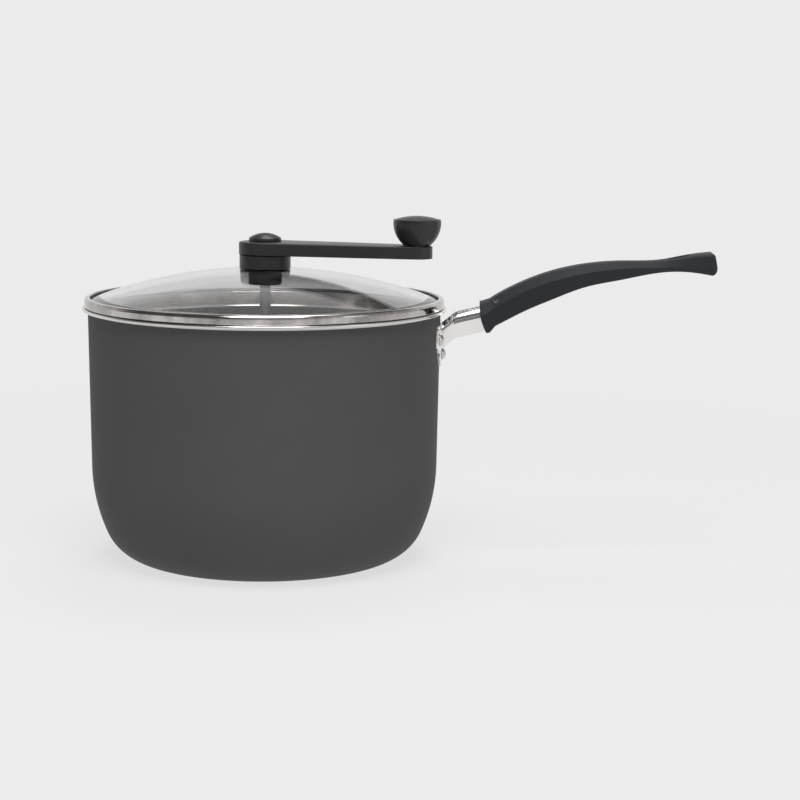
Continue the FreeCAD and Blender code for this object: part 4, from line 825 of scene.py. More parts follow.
@dataclass
class Pan:
    """The pressed pan: flat floor, tight heel, slack flank, nearly straight wall, flanged lip."""

    finishes: Finishes
    height: float = 175.0 * MM
    wall: float = 2.2 * MM
    base_radius: float = 80.0 * MM
    heel_radius: float = 32.6 * MM
    flank_radius: float = 118.0 * MM
    flank_turn: float = math.radians(23.6)
    taper: float = math.radians(0.82)
    lip_width: float = 3.8 * MM
    lip_rounding: float = 0.8 * MM
    mouth_rounding: float = 1.6 * MM

    def heel(self, inset: float, turn: float) -> Point:
        """Returns a point of the heel's arc, inset from the outside."""
        reach = self.heel_radius - inset
        return self.base_radius + reach * math.cos(turn), self.heel_radius - reach * math.sin(turn)

    def flank(self, inset: float, turn: float) -> Point:
        """Returns a point of the flank's arc, inset from the outside."""
        middle_x = self.base_radius + (self.heel_radius - self.flank_radius) * math.cos(self.flank_turn)
        middle_z = self.heel_radius - (self.heel_radius - self.flank_radius) * math.sin(self.flank_turn)
        reach = self.flank_radius - inset
        return middle_x + reach * math.cos(turn), middle_z - reach * math.sin(turn)

    def radius_at(self, height: float, inset: float = 0.0) -> float:
        """Returns the straight wall's radius at a height."""
        start_x, start_z = self.flank(inset, self.taper)
        return start_x + (height - start_z) * math.tan(self.taper)

    @property
    def lip_radius(self) -> float:
        """Radius of the lip's edge."""
        return self.radius_at(self.height - self.wall) + self.lip_width

    @property
    def mouth_radius(self) -> float:
        """Radius of the mouth."""
        return self.radius_at(self.height, self.wall)

    def outline(self) -> Outline:
        """Returns the sheet's outline, radius and height."""
        top = self.height - self.wall
        line = Outline(closed=False, facet=math.radians(14))
        line.to(0.0, 0.0).to(self.base_radius, 0.0)
        line.arc(*self.heel(0.0, self.flank_turn), self.heel_radius)
        line.arc(*self.flank(0.0, self.taper), self.flank_radius)
        line.to(self.radius_at(top), top, self.lip_rounding)
        line.to(self.lip_radius, top, self.lip_rounding)
        line.to(self.lip_radius, self.height, self.lip_rounding)
        line.to(self.mouth_radius, self.height, self.mouth_rounding)
        line.to(*self.flank(self.wall, self.taper))
        line.arc(*self.heel(self.wall, self.flank_turn), -(self.flank_radius - self.wall))
        line.arc(self.base_radius, self.wall, -(self.heel_radius - self.wall))
        line.to(0.0, self.wall)
        return line

    def build(self) -> None:
        """Builds and dresses the pan."""
        pan = lathe("pan", self.outline(), 256)
        for rivet in RIVET_PLACES.values():
            carve(pan, rivet_drill(*rivet), Cut.AWAY)
        tidy(pan)
        smooth(pan, 30)
        for material in (self.finishes.pan, self.finishes.inside, self.finishes.lip, self.finishes.base):
            pan.data.materials.append(material)
        for face in pan.data.polygons:
            face.material_index = self.finish_of(face.center, face.normal)
        hand_over(pan, "pot", Slot.PAN, [], "pot_body")

    def finish_of(self, centre: Vector, normal: Vector) -> int:
        """Returns the material slot of a face by its place."""
        radius = math.hypot(centre.x, centre.y)
        if centre.z > self.height - self.wall - self.lip_rounding and radius > self.mouth_radius - 0.2 * MM:
            return 2
        if centre.z < 0.02 * MM:
            return 3
        outwards = normal.x * centre.x + normal.y * centre.y
        if centre.z < self.wall * 1.5 and radius < self.base_radius:
            return 1 if normal.z > 0 else 3
        return 0 if outwards > 0 else 1


RIVET_PLACES = {"left": (8.0, 155.0 * MM), "right": (-8.0, 155.0 * MM), "lower": (0.0, 143.5 * MM)}


def rivet_drill(azimuth: float, height: float) -> bpy.types.Object:
    """Returns a cutter for one rivet's hole.

    Args:
        azimuth: degrees round the pan.
        height: the hole's height.

    Returns:
        A rod that reaches through the wall and the flange.
    """
    radius, inside, outside = 2.55 * MM, 100.0 * MM, 140.0 * MM
    line = Outline(closed=False)
    line.to(0.0, inside).to(radius, inside).to(radius, outside).to(0.0, outside)
    drill = lathe("rivet_drill", line, 48)
    set_down(drill, Vector((0.0, 0.0, height)), outwards(azimuth))
    return drill


@dataclass
class Rivets:
    """Three rivets: domed heads outside the flange, flat tails inside the pan."""

    finishes: Finishes
    pan: Pan
    shank: float = 2.5 * MM
    head: float = 4.4 * MM
    crown: float = 2.8 * MM
    tail: float = 4.6 * MM
    tail_height: float = 1.4 * MM
    slack: float = 0.12 * MM
    flange: float = 1.6 * MM

    def build(self) -> None:
        """Models one rivet along +Z and copies it to its three places."""
        reach = 10.0 * MM
        thickness = self.pan.wall + self.flange + 2 * self.slack
        dome = (self.head ** 2 + self.crown ** 2) / (2 * self.crown)
        line = Outline(closed=False, facet=math.radians(20))
        line.to(0.0, reach - self.tail_height).to(self.tail, reach - self.tail_height, 0.5 * MM)
        line.to(self.tail, reach).to(self.shank, reach).to(self.shank, reach + thickness)
        line.to(self.head, reach + thickness).arc(0.0, reach + thickness + self.crown, dome)
        model = lathe("rivet_model", line, 64)
        soften(model, 0.12 * MM, 2, 50)
        smooth(model, 35)
        for name, (azimuth, height) in RIVET_PLACES.items():
            self.set_one(model, name, azimuth, height, reach)
        bpy.data.objects.remove(model)

    def set_one(self, model: bpy.types.Object, name: str, azimuth: float, height: float,
                reach: float) -> None:
        """Copies the model to one place.

        Args:
            model: the rivet modelled along +Z.
            name: which rivet.
            azimuth: degrees round the pan.
            height: the rivet's height.
            reach: where its seat stands along its own axis.
        """
        activate(model)
        bpy.ops.object.duplicate(linked=False)
        rivet = bpy.context.object
        rivet.name = rivet.data.name = f"rivet_{name}"
        turn = outwards(azimuth)
        inside = self.pan.radius_at(height, self.pan.wall) - self.slack
        set_down(rivet, Vector((0.0, 0.0, height)) + turn @ Vector((0.0, 0.0, inside - reach)), turn)
        hand_over(rivet, "pot", Slot.RIVET, [self.finishes.rivet], f"handle_rivet_{name}")


# ------------------------------------------------------------------ handle


@dataclass
class Bracket:
    """A pressed flange on the wall and a round-backed channel that runs into the grip."""

    finishes: Finishes
    pan: Pan
    top: float = 165.0 * MM
    sheet: float = 1.6 * MM
    stem_sheet: float = 1.5 * MM
    width: float = 13.0 * MM
    back_flat: float = 0.6 * MM
    back_height: float = 7.8 * MM
    skirt_width: float = 10.4 * MM
    depth: float = 18.0 * MM
    root_height: float = 164.4 * MM
    knee: Point = (131.4 * MM, 173.0 * MM)
    slope: float = math.radians(13.5)
    collar_x: float = 153.0 * MM
    tongue_slope: float = math.radians(23.0)
    tongue_end: float = 189.0 * MM
    skirt_reach: float = 2.0 * MM
    tongue_rounding: float = 12.0 * MM

    @property
    def collar(self) -> Point:
        """Where the channel bends up into the grip."""
        return self.collar_x, self.knee[1] + (self.collar_x - self.knee[0]) * math.tan(self.slope)

    @property
    def end(self) -> Point:
        """The end of the tongue's back."""
        x, z = self.collar
        return self.tongue_end, z + (self.tongue_end - x) * math.tan(self.tongue_slope)

    def back_line(self, start: float) -> Outline:
        """Returns the line of the back in side view, from the wall to the tongue's end."""
        line = Outline(closed=False, facet=math.radians(6))
        line.to(start, self.root_height)
        line.to(*self.knee, 8.0 * MM)
        line.to(*self.collar, self.tongue_rounding)
        line.to(*self.end)
        return line

    def section(self, low: float, half: float, rounding: float) -> Outline:
        """Returns a half-round section hanging from nought: its depth, half width and rounding."""
        line = Outline(facet=math.radians(10))
        line.to(-half, 0.0, rounding).to(-half, -low).to(half, -low).to(half, 0.0, rounding)
        return line

    def sweep(self, name: str, section: Outline, line: list[Point], drop: float) -> bpy.types.Object:
        """Extrudes an upright section along a side view's line.

        Args:
            name: the piece's name.
            section: the section, hanging from nought.
            line: points of the line, distance and height.
            drop: how far the section hangs below the line.

        Returns:
            The closed solid.
        """
        points = [Vector((line[0][0], across, line[0][1] - drop + up)) for across, up in section.points()]
        piece = trace(name, points, True)
        bpy.ops.mesh.edge_face_add()
        for here, after in zip(line, line[1:]):
            bpy.ops.mesh.extrude_region_move(
                TRANSFORM_OT_translate={"value": (after[0] - here[0], 0.0, after[1] - here[1])})
        shut()
        tidy(piece)
        return piece

    def build_flange(self) -> bpy.types.Object:
        """Returns the shield-shaped flange, wrapped on the wall."""
        low, high = 130.0 * MM, 172.0 * MM
        line = Outline()
        line.to(self.pan.radius_at(low) + 0.05 * MM, low).to(self.pan.radius_at(low) + self.sheet, low)
        line.to(self.pan.radius_at(high) + self.sheet, high).to(self.pan.radius_at(high) + 0.05 * MM, high)
        shell = lathe("flange_shell", line, 720)
        side, tip = 21.5 * MM, 8.0 * MM
        shape = Outline(facet=math.radians(9))
        shape.to(-side, self.top, 3.0 * MM).to(-side, 150.0 * MM, 8.0 * MM).to(-tip, 135.5 * MM, 5.0 * MM)
        shape.to(tip, 135.5 * MM, 5.0 * MM).to(side, 150.0 * MM, 8.0 * MM).to(side, self.top, 3.0 * MM)
        shield = prism("flange_shape", shape, Plane.END, 90.0 * MM, 150.0 * MM)
        return carve(shell, shield, Cut.KEEP)

    def build(self) -> None:
        """Builds and dresses the bracket."""
        start = self.pan.radius_at(self.root_height) + 0.3 * MM
        line = self.back_line(start).points()
        rounding = self.width / 2 - self.back_flat
        stem = self.sweep("handle_bracket_piece", self.section(self.back_height, self.width / 2, rounding),
                          line, 0.0)
        overlap = self.skirt_reach * math.tan(self.slope)
        short = [point for point in line if point[0] < self.collar_x - 0.1 * MM]
        short.append((self.collar_x + self.skirt_reach, self.collar[1] + overlap))
        skirt = self.sweep("skirt", self.section(self.depth - 3.0 * MM, self.skirt_width / 2, 0.2 * MM),
                           short, 3.0 * MM)
        carve(stem, skirt, Cut.JOIN)
        inner = [(line[0][0] + self.sheet, line[0][1])] + [p for p in line if p[0] > line[0][0] + 2.2 * MM]
        inner.append((line[-1][0] + 2 * MM, line[-1][1] + 2 * MM * math.tan(self.tongue_slope)))
        hollow = self.sweep(
            "hollow", self.section(2 * self.depth, self.skirt_width / 2 - self.stem_sheet, 1.2 * MM),
            inner, self.stem_sheet + 0.4 * MM)
        carve(stem, hollow, Cut.AWAY)
        carve(stem, self.build_flange(), Cut.JOIN)
        for rivet in RIVET_PLACES.values():
            carve(stem, rivet_drill(*rivet), Cut.AWAY)
        tidy(stem)
        soften(stem, 0.35 * MM, 3, 50)
        smooth(stem, 35)
        for material in (self.finishes.bracket, self.finishes.seam):
            stem.data.materials.append(material)
        # Faces on the lower edge of the back take the darker steel, which paints a shade line there.
        for face in stem.data.polygons:
            face.material_index = int(self.in_shade_strip(face.center))
        hand_over(stem, "pot", Slot.STEEL, [], "handle_bracket")

    def in_shade_strip(self, place: Vector) -> bool:
        """Tells whether a place is on the lower edge of the channel's back, where darker steel paints a shade line.
        """
        back = self.knee[1] + (place.x - self.knee[0]) * math.tan(self.slope)
        return (place.x > self.knee[0] - 1.0 * MM and abs(place.y) > self.skirt_width / 2 + 0.1 * MM
                and 5.7 * MM < back - place.z < self.back_height + 0.2 * MM)


@dataclass(frozen=True)
class Section:
    """A section of the grip, square to its spine.

    Args:
        x: its place along the handle.
        z: its height.
        tilt: degrees that it leans back.
        back: from the spine to the back.
        under: from the spine to the underside.
        crease: from the spine up to the creases of its sides.
        width: from crease to crease.
        flat: half the width of its flats, as a share of the width.
    """

    x: float
    z: float
    tilt: float
    back: float
    under: float
    crease: float
    width: float
    flat: float


def further(place: Point, length: float, climb: float) -> Point:
    """Returns the point a length on from a place, climbing by degrees."""
    turn = math.radians(climb)
    return place[0] + length * math.cos(turn), place[1] + length * math.sin(turn)


@dataclass
class Grip:
    """The moulded grip: six-sided sections along a spine that climbs, bends over and runs out level."""

    finishes: Finishes
    bracket: Bracket
    mouth: Point = (150.6 * MM, 169.39 * MM)
    mouth_tilt: float = 13.5
    mouth_radius: float = 41.0 * MM
    mouth_overrun: float = 2.0 * MM
    lip: float = 2.4 * MM
    collar: float = 7.0 * MM
    collar_climb: float = 18.0
    shank: float = 25.7 * MM
    shank_climb: float = 30.3
    bend: float = 184.0 * MM
    bend_start: float = 28.0
    bend_end: float = 4.8
    tail_climb: float = 6.2
    end_climb: float = 0.4
    back_rounding: float = 2.4 * MM
    crease_rounding: float = 1.0 * MM
    clear: float = 0.2 * MM
    divisions: int = 8

    @staticmethod
    def section(place: Point, tilt: float, shape: Sequence[float], flat: float) -> Section:
        """Returns a section from its place, tilt and millimetres of back, underside, crease and width."""
        return Section(*place, tilt, *(size * MM for size in shape), flat)

    def collar_sections(self) -> list[Section]:
        """Returns the collar's sections: its mouth, its lip and the kink where the shank starts."""
        face, kink = (10.6, 10.8, 2.6, 27.0), (10.5, 7.9, 3.8, 25.4)
        return [
            self.section(further(self.mouth, -self.mouth_overrun, self.mouth_tilt), self.mouth_tilt, face, 0.34),
            self.section(further(self.mouth, self.lip, self.mouth_tilt), self.mouth_tilt, face, 0.34),
            self.section(further(self.mouth, self.collar, self.collar_climb), self.mouth_tilt, kink, 0.32),
        ]

    def shank_sections(self) -> list[Section]:
        """Returns the sections beyond the collar: four round the bend, then waist, tail and end."""
        place = further(self.mouth, self.shank, self.shank_climb)
        centre = further(place, -self.bend, 90 + self.bend_start)
        round_bend = ((8.7, 9.95, 2.45, 25.0), (8.25, 10.05, 2.25, 25.0), (7.15, 8.15, 1.4, 24.0),
                      (5.85, 6.75, 1.1, 21.5))
        found = []
        for i, shape in enumerate(round_bend):
            tilt = self.bend_start - (self.bend_start - self.bend_end) / (len(round_bend) - 1) * i
            place = further(centre, self.bend, 90 + tilt)
            found.append(self.section(place, tilt, shape, 0.30))
        for length, climb, shape, flat in (
            (29.5, self.tail_climb, (4.0, 4.3, -1.3, 18.5), 0.36),
            (18.0, self.tail_climb, (5.4, 5.95, -2.8, 22.5), 0.40),
            (19.4, self.end_climb, (7.35, 8.7, -6.3, 30.0), 0.42),
        ):
            place = further(place, length * MM, climb)
            found.append(self.section(place, climb, shape, flat))
        return found

    def between(self, sections: list[Section]) -> list[Section]:
        """Returns closer sections, on smooth curves through the given ones."""
        rows = [astuple(section) for section in sections]
        runs = [0.0]
        for here, after in zip(rows, rows[1:]):
            runs.append(runs[-1] + math.dist(here[:2], after[:2]))
        curves = [natural_curve(runs, values) for values in zip(*rows)]
        found = []
        for start, end in zip(runs, runs[1:]):
            for k in range(self.divisions):
                place = start + (end - start) * k / self.divisions
                found.append(Section(*(curve(place) for curve in curves)))
        found.append(sections[-1])
        return found

    def ring(self, section: Section) -> list[Vector]:
        """Returns the points of one section, its corners rounded."""
        half, flat = section.width / 2, section.width * section.flat
        corners = [(flat, section.back), (-flat, section.back), (-half, section.crease),
                   (-flat, -section.under), (flat, -section.under), (half, section.crease)]
        found: list[Point] = []
        for i, here in enumerate(corners):
            radius = self.crease_rounding if here[1] == section.crease else self.back_rounding
            found += even_fillet(corners[i - 1], here, corners[(i + 1) % len(corners)], radius, 5)
        tilt = math.radians(section.tilt)
        return [Vector((section.x - up * math.sin(tilt), across, section.z + up * math.cos(tilt)))
                for across, up in found]

    def build(self) -> None:
        """Builds and dresses the grip."""
        collar, shank = self.collar_sections(), self.shank_sections()
        grip = bridge("handle_grip_piece", [
            self.ring(section) for section in collar[:-1] + self.between([collar[-1]] + shank)])
        self.curve_mouth(grip)
        self.trim_end(grip, shank[-1])
        self.open_socket(grip)
        self.cut_slot(grip)
        self.add_screw(grip)
        tidy(grip)
        soften(grip, 0.35 * MM, 2, 48)
        smooth(grip, 34)
        weigh_normals(grip)
        hand_over(grip, "pot", Slot.GRIP, [self.finishes.grip], "handle_grip")

    def curve_mouth(self, grip: bpy.types.Object) -> None:
        """Trims the mouth to an arc that bows towards the pan."""
        radius, under, spread, half = self.mouth_radius, 10.8 * MM, 45.0, 20.0 * MM
        centre = further(self.mouth, math.sqrt(radius * radius - under * under), self.mouth_tilt)
        high = further(centre, -radius, self.mouth_tilt - spread)
        low = further(centre, -radius, self.mouth_tilt + spread)
        left = self.mouth[0] - half
        line = Outline(facet=math.radians(9))
        line.to(left, low[1]).to(*low).arc(*high, -radius).to(left, high[1])
        carve(grip, prism("mouth_arc", line, Plane.SIDE, -half, half), Cut.AWAY)

    def trim_end(self, grip: bpy.types.Object, end: Section) -> None:
        """Rounds the tail off in side view and in plan."""
        reach, high, low = 12.0 * MM, end.z + end.back - 0.25 * MM, end.z - end.under + 0.7 * MM
        start, beyond, over, below = end.x - reach, end.x + reach, high + reach, low - reach
        side = Outline(facet=math.radians(10))
        side.to(start, high).to(end.x - 3.6 * MM, high, 2.0 * MM).to(end.x - 0.1 * MM, low, 5.0 * MM)
        side.to(start, low).to(start, below).to(beyond, below).to(beyond, over).to(start, over)
        carve(grip, prism("tail_side", side, Plane.SIDE, -end.width, end.width), Cut.AWAY)
        plan = Outline(facet=math.radians(8))
        brink, half, wide = end.x - 0.1 * MM, end.width / 2, end.width
        plan.to(start, half).to(brink, half, 9.0 * MM).to(brink, -half, 9.0 * MM).to(start, -half)
        plan.to(start, -wide).to(beyond, -wide).to(beyond, wide).to(start, wide)
        carve(grip, prism("tail_plan", plan, Plane.PLAN, below, over), Cut.AWAY)

    def open_socket(self, grip: bpy.types.Object) -> None:
        """Cuts the socket that takes the bracket's tongue and the end of its skirt."""
        bracket, clear = self.bracket, self.clear
        mouth = self.mouth[0] - 12.0 * MM
        slope, tongue = math.tan(bracket.slope), math.tan(bracket.tongue_slope)
        back = bracket.knee[1] + (mouth - bracket.knee[0]) * slope
        end_x, end_z = bracket.end[0] + clear, bracket.end[1] + clear * tongue
        x, z = bracket.collar
        line = Outline(facet=math.radians(6))
        line.to(mouth, back - bracket.back_height - clear)
        line.to(x, z - bracket.back_height - clear, bracket.tongue_rounding)
        line.to(end_x, end_z - bracket.back_height - clear).to(end_x, end_z + clear)
        line.to(x, z + clear, bracket.tongue_rounding).to(mouth, back + clear)
        half = bracket.width / 2 + clear
        carve(grip, prism("socket", line, Plane.SIDE, -half, half), Cut.AWAY)
        end = x + bracket.skirt_reach + clear
        low = bracket.knee[1] - bracket.depth - clear - bracket.knee[0] * slope
        skirt = Outline()
        skirt.to(mouth, low + mouth * slope).to(end, low + end * slope).to(end, z - bracket.stem_sheet)
        skirt.to(mouth, back - bracket.stem_sheet)
        half = bracket.skirt_width / 2 + clear
        carve(grip, prism("skirt_socket", skirt, Plane.SIDE, -half, half), Cut.AWAY)

    @staticmethod
    def cut_slot(grip: bpy.types.Object) -> None:
        """Cuts the slot that the handle hangs by."""
        first, last, half = 280.0 * MM, 287.0 * MM, 4.0 * MM
        line = Outline(facet=math.radians(80))
        line.arc(first, -half, half).to(last, -half).arc(last + half, 0.0, half).arc(last, half, half)
        line.to(first, half).arc(first - half, 0.0, half)
        carve(grip, prism("slot", line, Plane.PLAN, 190 * MM, 230 * MM), Cut.AWAY)

    def add_screw(self, grip: bpy.types.Object) -> None:
        """Sinks the screw's hole in the grip's side and builds the socket screw in it."""
        lean, lift, length = self.bracket.tongue_slope, math.radians(38), 3.6 * MM
        way = Vector((-math.sin(lean) * math.sin(lift), -math.cos(lift), math.cos(lean) * math.sin(lift)))
        low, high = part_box("grip_screw")
        foot = (low + high) / 2 - way * length / 2
        turn = way.to_track_quat("Z", "Y")
        hole, radius, deep = Outline(closed=False), 2.25 * MM, 14.0 * MM
        hole.to(0.0, 0.0).to(radius, 0.0).to(radius, deep).to(0.0, deep)
        drill = lathe("screw_drill", hole, 48)
        set_down(drill, foot, turn)
        carve(grip, drill, Cut.AWAY)
        shank, radius, top = Outline(closed=False, facet=math.radians(20)), 2.2 * MM, length + 1.4 * MM
        shank.to(0.0, 0.0).to(radius, 0.0, 0.2 * MM).to(radius, top, 0.3 * MM).to(0.0, top)
        screw = lathe("grip_screw_piece", shank, 48)
        key, corner = Outline(), 1.2 * MM / math.cos(math.radians(30))
        for angle in (math.radians(60 * k) for k in range(6)):
            key.to(corner * math.cos(angle), corner * math.sin(angle))
        carve(screw, prism("screw_key", key, Plane.PLAN, top - 0.9 * MM, 2 * top), Cut.AWAY)
        tidy(screw)
        smooth(screw, 35)
        set_down(screw, foot, turn)
        hand_over(screw, "pot", Slot.FASTENER, [self.finishes.blackened], "grip_screw")


def natural_curve(places: Sequence[float], values: Sequence[float]) -> Callable[[float], float]:
    """Fits a smooth curve through values.

    Args:
        places: where each value stands, rising.
        values: the values.

    Returns:
        A function that gives the curve's value at a place.
    """
    count = len(places)
    gaps = [places[i + 1] - places[i] for i in range(count - 1)]
    lower, upper, bends = [0.0] * count, [0.0] * count, [0.0] * count
    for i in range(1, count - 1):
        pull = 6 * ((values[i + 1] - values[i]) / gaps[i] - (values[i] - values[i - 1]) / gaps[i - 1])
        weight = 2 * (gaps[i - 1] + gaps[i]) - gaps[i - 1] * upper[i - 1]
        upper[i] = gaps[i] / weight
        lower[i] = (pull - gaps[i - 1] * lower[i - 1]) / weight
    for i in range(count - 2, 0, -1):
        bends[i] = lower[i] - upper[i] * bends[i + 1]

    def value_at(place: float) -> float:
        """The curve's value at a place."""
        i = max(k for k in range(count - 1) if places[k] <= place or k == 0)
        gap = gaps[i]
        left, right = (places[i + 1] - place) / gap, (place - places[i]) / gap
        return (left * values[i] + right * values[i + 1]
                + ((left ** 3 - left) * bends[i] + (right ** 3 - right) * bends[i + 1]) * gap * gap / 6)

    return value_at


def even_fillet(before: Point, here: Point, after: Point, radius: float, steps: int) -> list[Point]:
    """Rounds one corner with a fixed number of divisions.

    Args:
        before: the corner before.
        here: the corner.
        after: the corner after.
        radius: the fillet's radius.
        steps: its divisions.

    Returns:
        Points of the fillet, steps + 1 of them.
    """
    arrive = (Vector(here) - Vector(before)).normalized()
    leave = (Vector(after) - Vector(here)).normalized()
    cross = arrive.x * leave.y - arrive.y * leave.x
    angle = abs(math.atan2(cross, arrive.dot(leave)))
    trim = radius * math.tan(angle / 2)
    turn = 1.0 if cross > 0 else -1.0
    start = Vector(here) - arrive * trim
    centre = start + Vector((-arrive.y, arrive.x)) * turn * radius
    spoke = start - centre
    return [tuple(centre + Matrix.Rotation(turn * angle * k / steps, 2) @ spoke) for k in range(steps + 1)]


# ------------------------------------------------------------------ lid


@dataclass
class Lid:
    """The glass dome in its rolled steel band, with the hub clamped through the middle."""

    finishes: Finishes
    pan: Pan
    glass_radius: float = 340.0 * MM
    glass_thickness: float = 3.8 * MM
    apex: float = 201.3 * MM
    sheet: float = 0.8 * MM
    bead: float = 2.6 * MM
    hub_radius: float = 17.6 * MM

    def dome(self, radius: float, inset: float = 0.0) -> float:
        """Returns the dome's height at a radius, inset from its outside."""
        reach = self.glass_radius - inset
        return self.apex - self.glass_radius + math.sqrt(reach * reach - radius * radius)

    def build_band(self) -> None:
        """Builds the band: seat flange, outer wall lapped over the glass, skirt with a beaded hem."""
        seat, sheet, bead = self.pan.height + 0.3 * MM, self.sheet, self.bead
        edge, top = self.pan.lip_radius - 1.4 * MM, 181.7 * MM
        skirt, bottom = self.pan.mouth_radius - 1.0 * MM, seat - 12.8 * MM
        lap = edge - 3.9 * MM
        hem = self.dome(lap) + 0.7 * MM
        line = Outline(facet=math.radians(14))
        line.to(skirt, bottom, 1.2 * MM).to(skirt, seat, 0.4 * MM).to(edge, seat, 0.7 * MM)
        line.to(edge, top, 2.2 * MM).to(lap, top, 0.38 * MM).to(lap, hem, 0.38 * MM)
        line.to(lap + sheet, hem).to(lap + sheet, top - sheet).to(edge - sheet, top - sheet, 1.2 * MM)
        line.to(edge - sheet, seat + sheet).to(skirt - sheet, seat + sheet, 1.0 * MM)
        line.to(skirt - sheet, bottom + bead, 0.4 * MM).to(skirt - bead, bottom + bead, 1.2 * MM)
        line.to(skirt - bead, bottom, 1.2 * MM)
        band = lathe("lid_band_piece", line, 288)
        smooth(band, 32)
        hand_over(band, "lid", Slot.STEEL, [self.finishes.steel], "lid_band")

    def build_glass(self) -> None:
        """Builds the dome, ground flat under its edge, with a hole for the hub."""
        edge, seat, hole = 122.12 * MM, 176.85 * MM, 7.55 * MM
        rise = seat - (self.apex - self.glass_radius)
        under = self.glass_radius - self.glass_thickness
        flat = math.sqrt(under * under - rise * rise)
        line = Outline(facet=math.radians(5))
        line.arc(hole, self.dome(hole, self.glass_thickness), under)
        line.to(hole, self.dome(hole)).arc(edge, self.dome(edge), -self.glass_radius)
        line.to(edge, seat, 0.5 * MM).to(flat, seat)
        glass = lathe("lid_glass_piece", line, 256)
        smooth(glass, 30)
        hand_over(glass, "lid", Slot.GLASS, [self.finishes.glass], "lid_glass")

    def build_hub(self) -> None:
        """Builds the housing on the glass and the nut under it."""
        foot = self.dome(self.hub_radius) + 0.25 * MM
        line = Outline(facet=math.radians(18))
        line.to(5.05 * MM, 190.27 * MM).to(7.05 * MM, 190.27 * MM, 0.4 * MM).to(7.05 * MM, 202.2 * MM)
        line.to(13.5 * MM, 202.2 * MM).to(13.5 * MM, foot).to(self.hub_radius, foot, 0.4 * MM)
        line.to(self.hub_radius, 210.4 * MM, 0.25 * MM).to(6.65 * MM, 210.4 * MM)
        line.to(6.65 * MM, 209.4 * MM).to(5.05 * MM, 209.4 * MM)
        hub = lathe("hub_housing_piece", line, 128)
        smooth(hub, 35)
        hand_over(hub, "lid", Slot.BLACK, [self.finishes.black], "hub_housing")
        line = Outline(facet=math.radians(15))
        line.to(7.1 * MM, 188.9 * MM).to(11.5 * MM, 188.9 * MM, 1.6 * MM)
        line.to(11.5 * MM, 196.6 * MM, 0.4 * MM).to(7.1 * MM, 196.6 * MM)
        nut = lathe("hub_nut_piece", line, 96)
        smooth(nut, 35)
        hand_over(nut, "lid", Slot.BLACK, [self.finishes.black], "hub_nut")

    def build(self) -> None:
        """Builds and dresses the lid."""
        self.build_band()
        self.build_glass()
        self.build_hub()
        for name in ("glass_seal", "hub_gasket_upper", "hub_gasket_lower"):
            dress_node(name, self.finishes.silicone)
        dress_node("shaft_bush", self.finishes.nylon)


# ------------------------------------------------------------------ crank


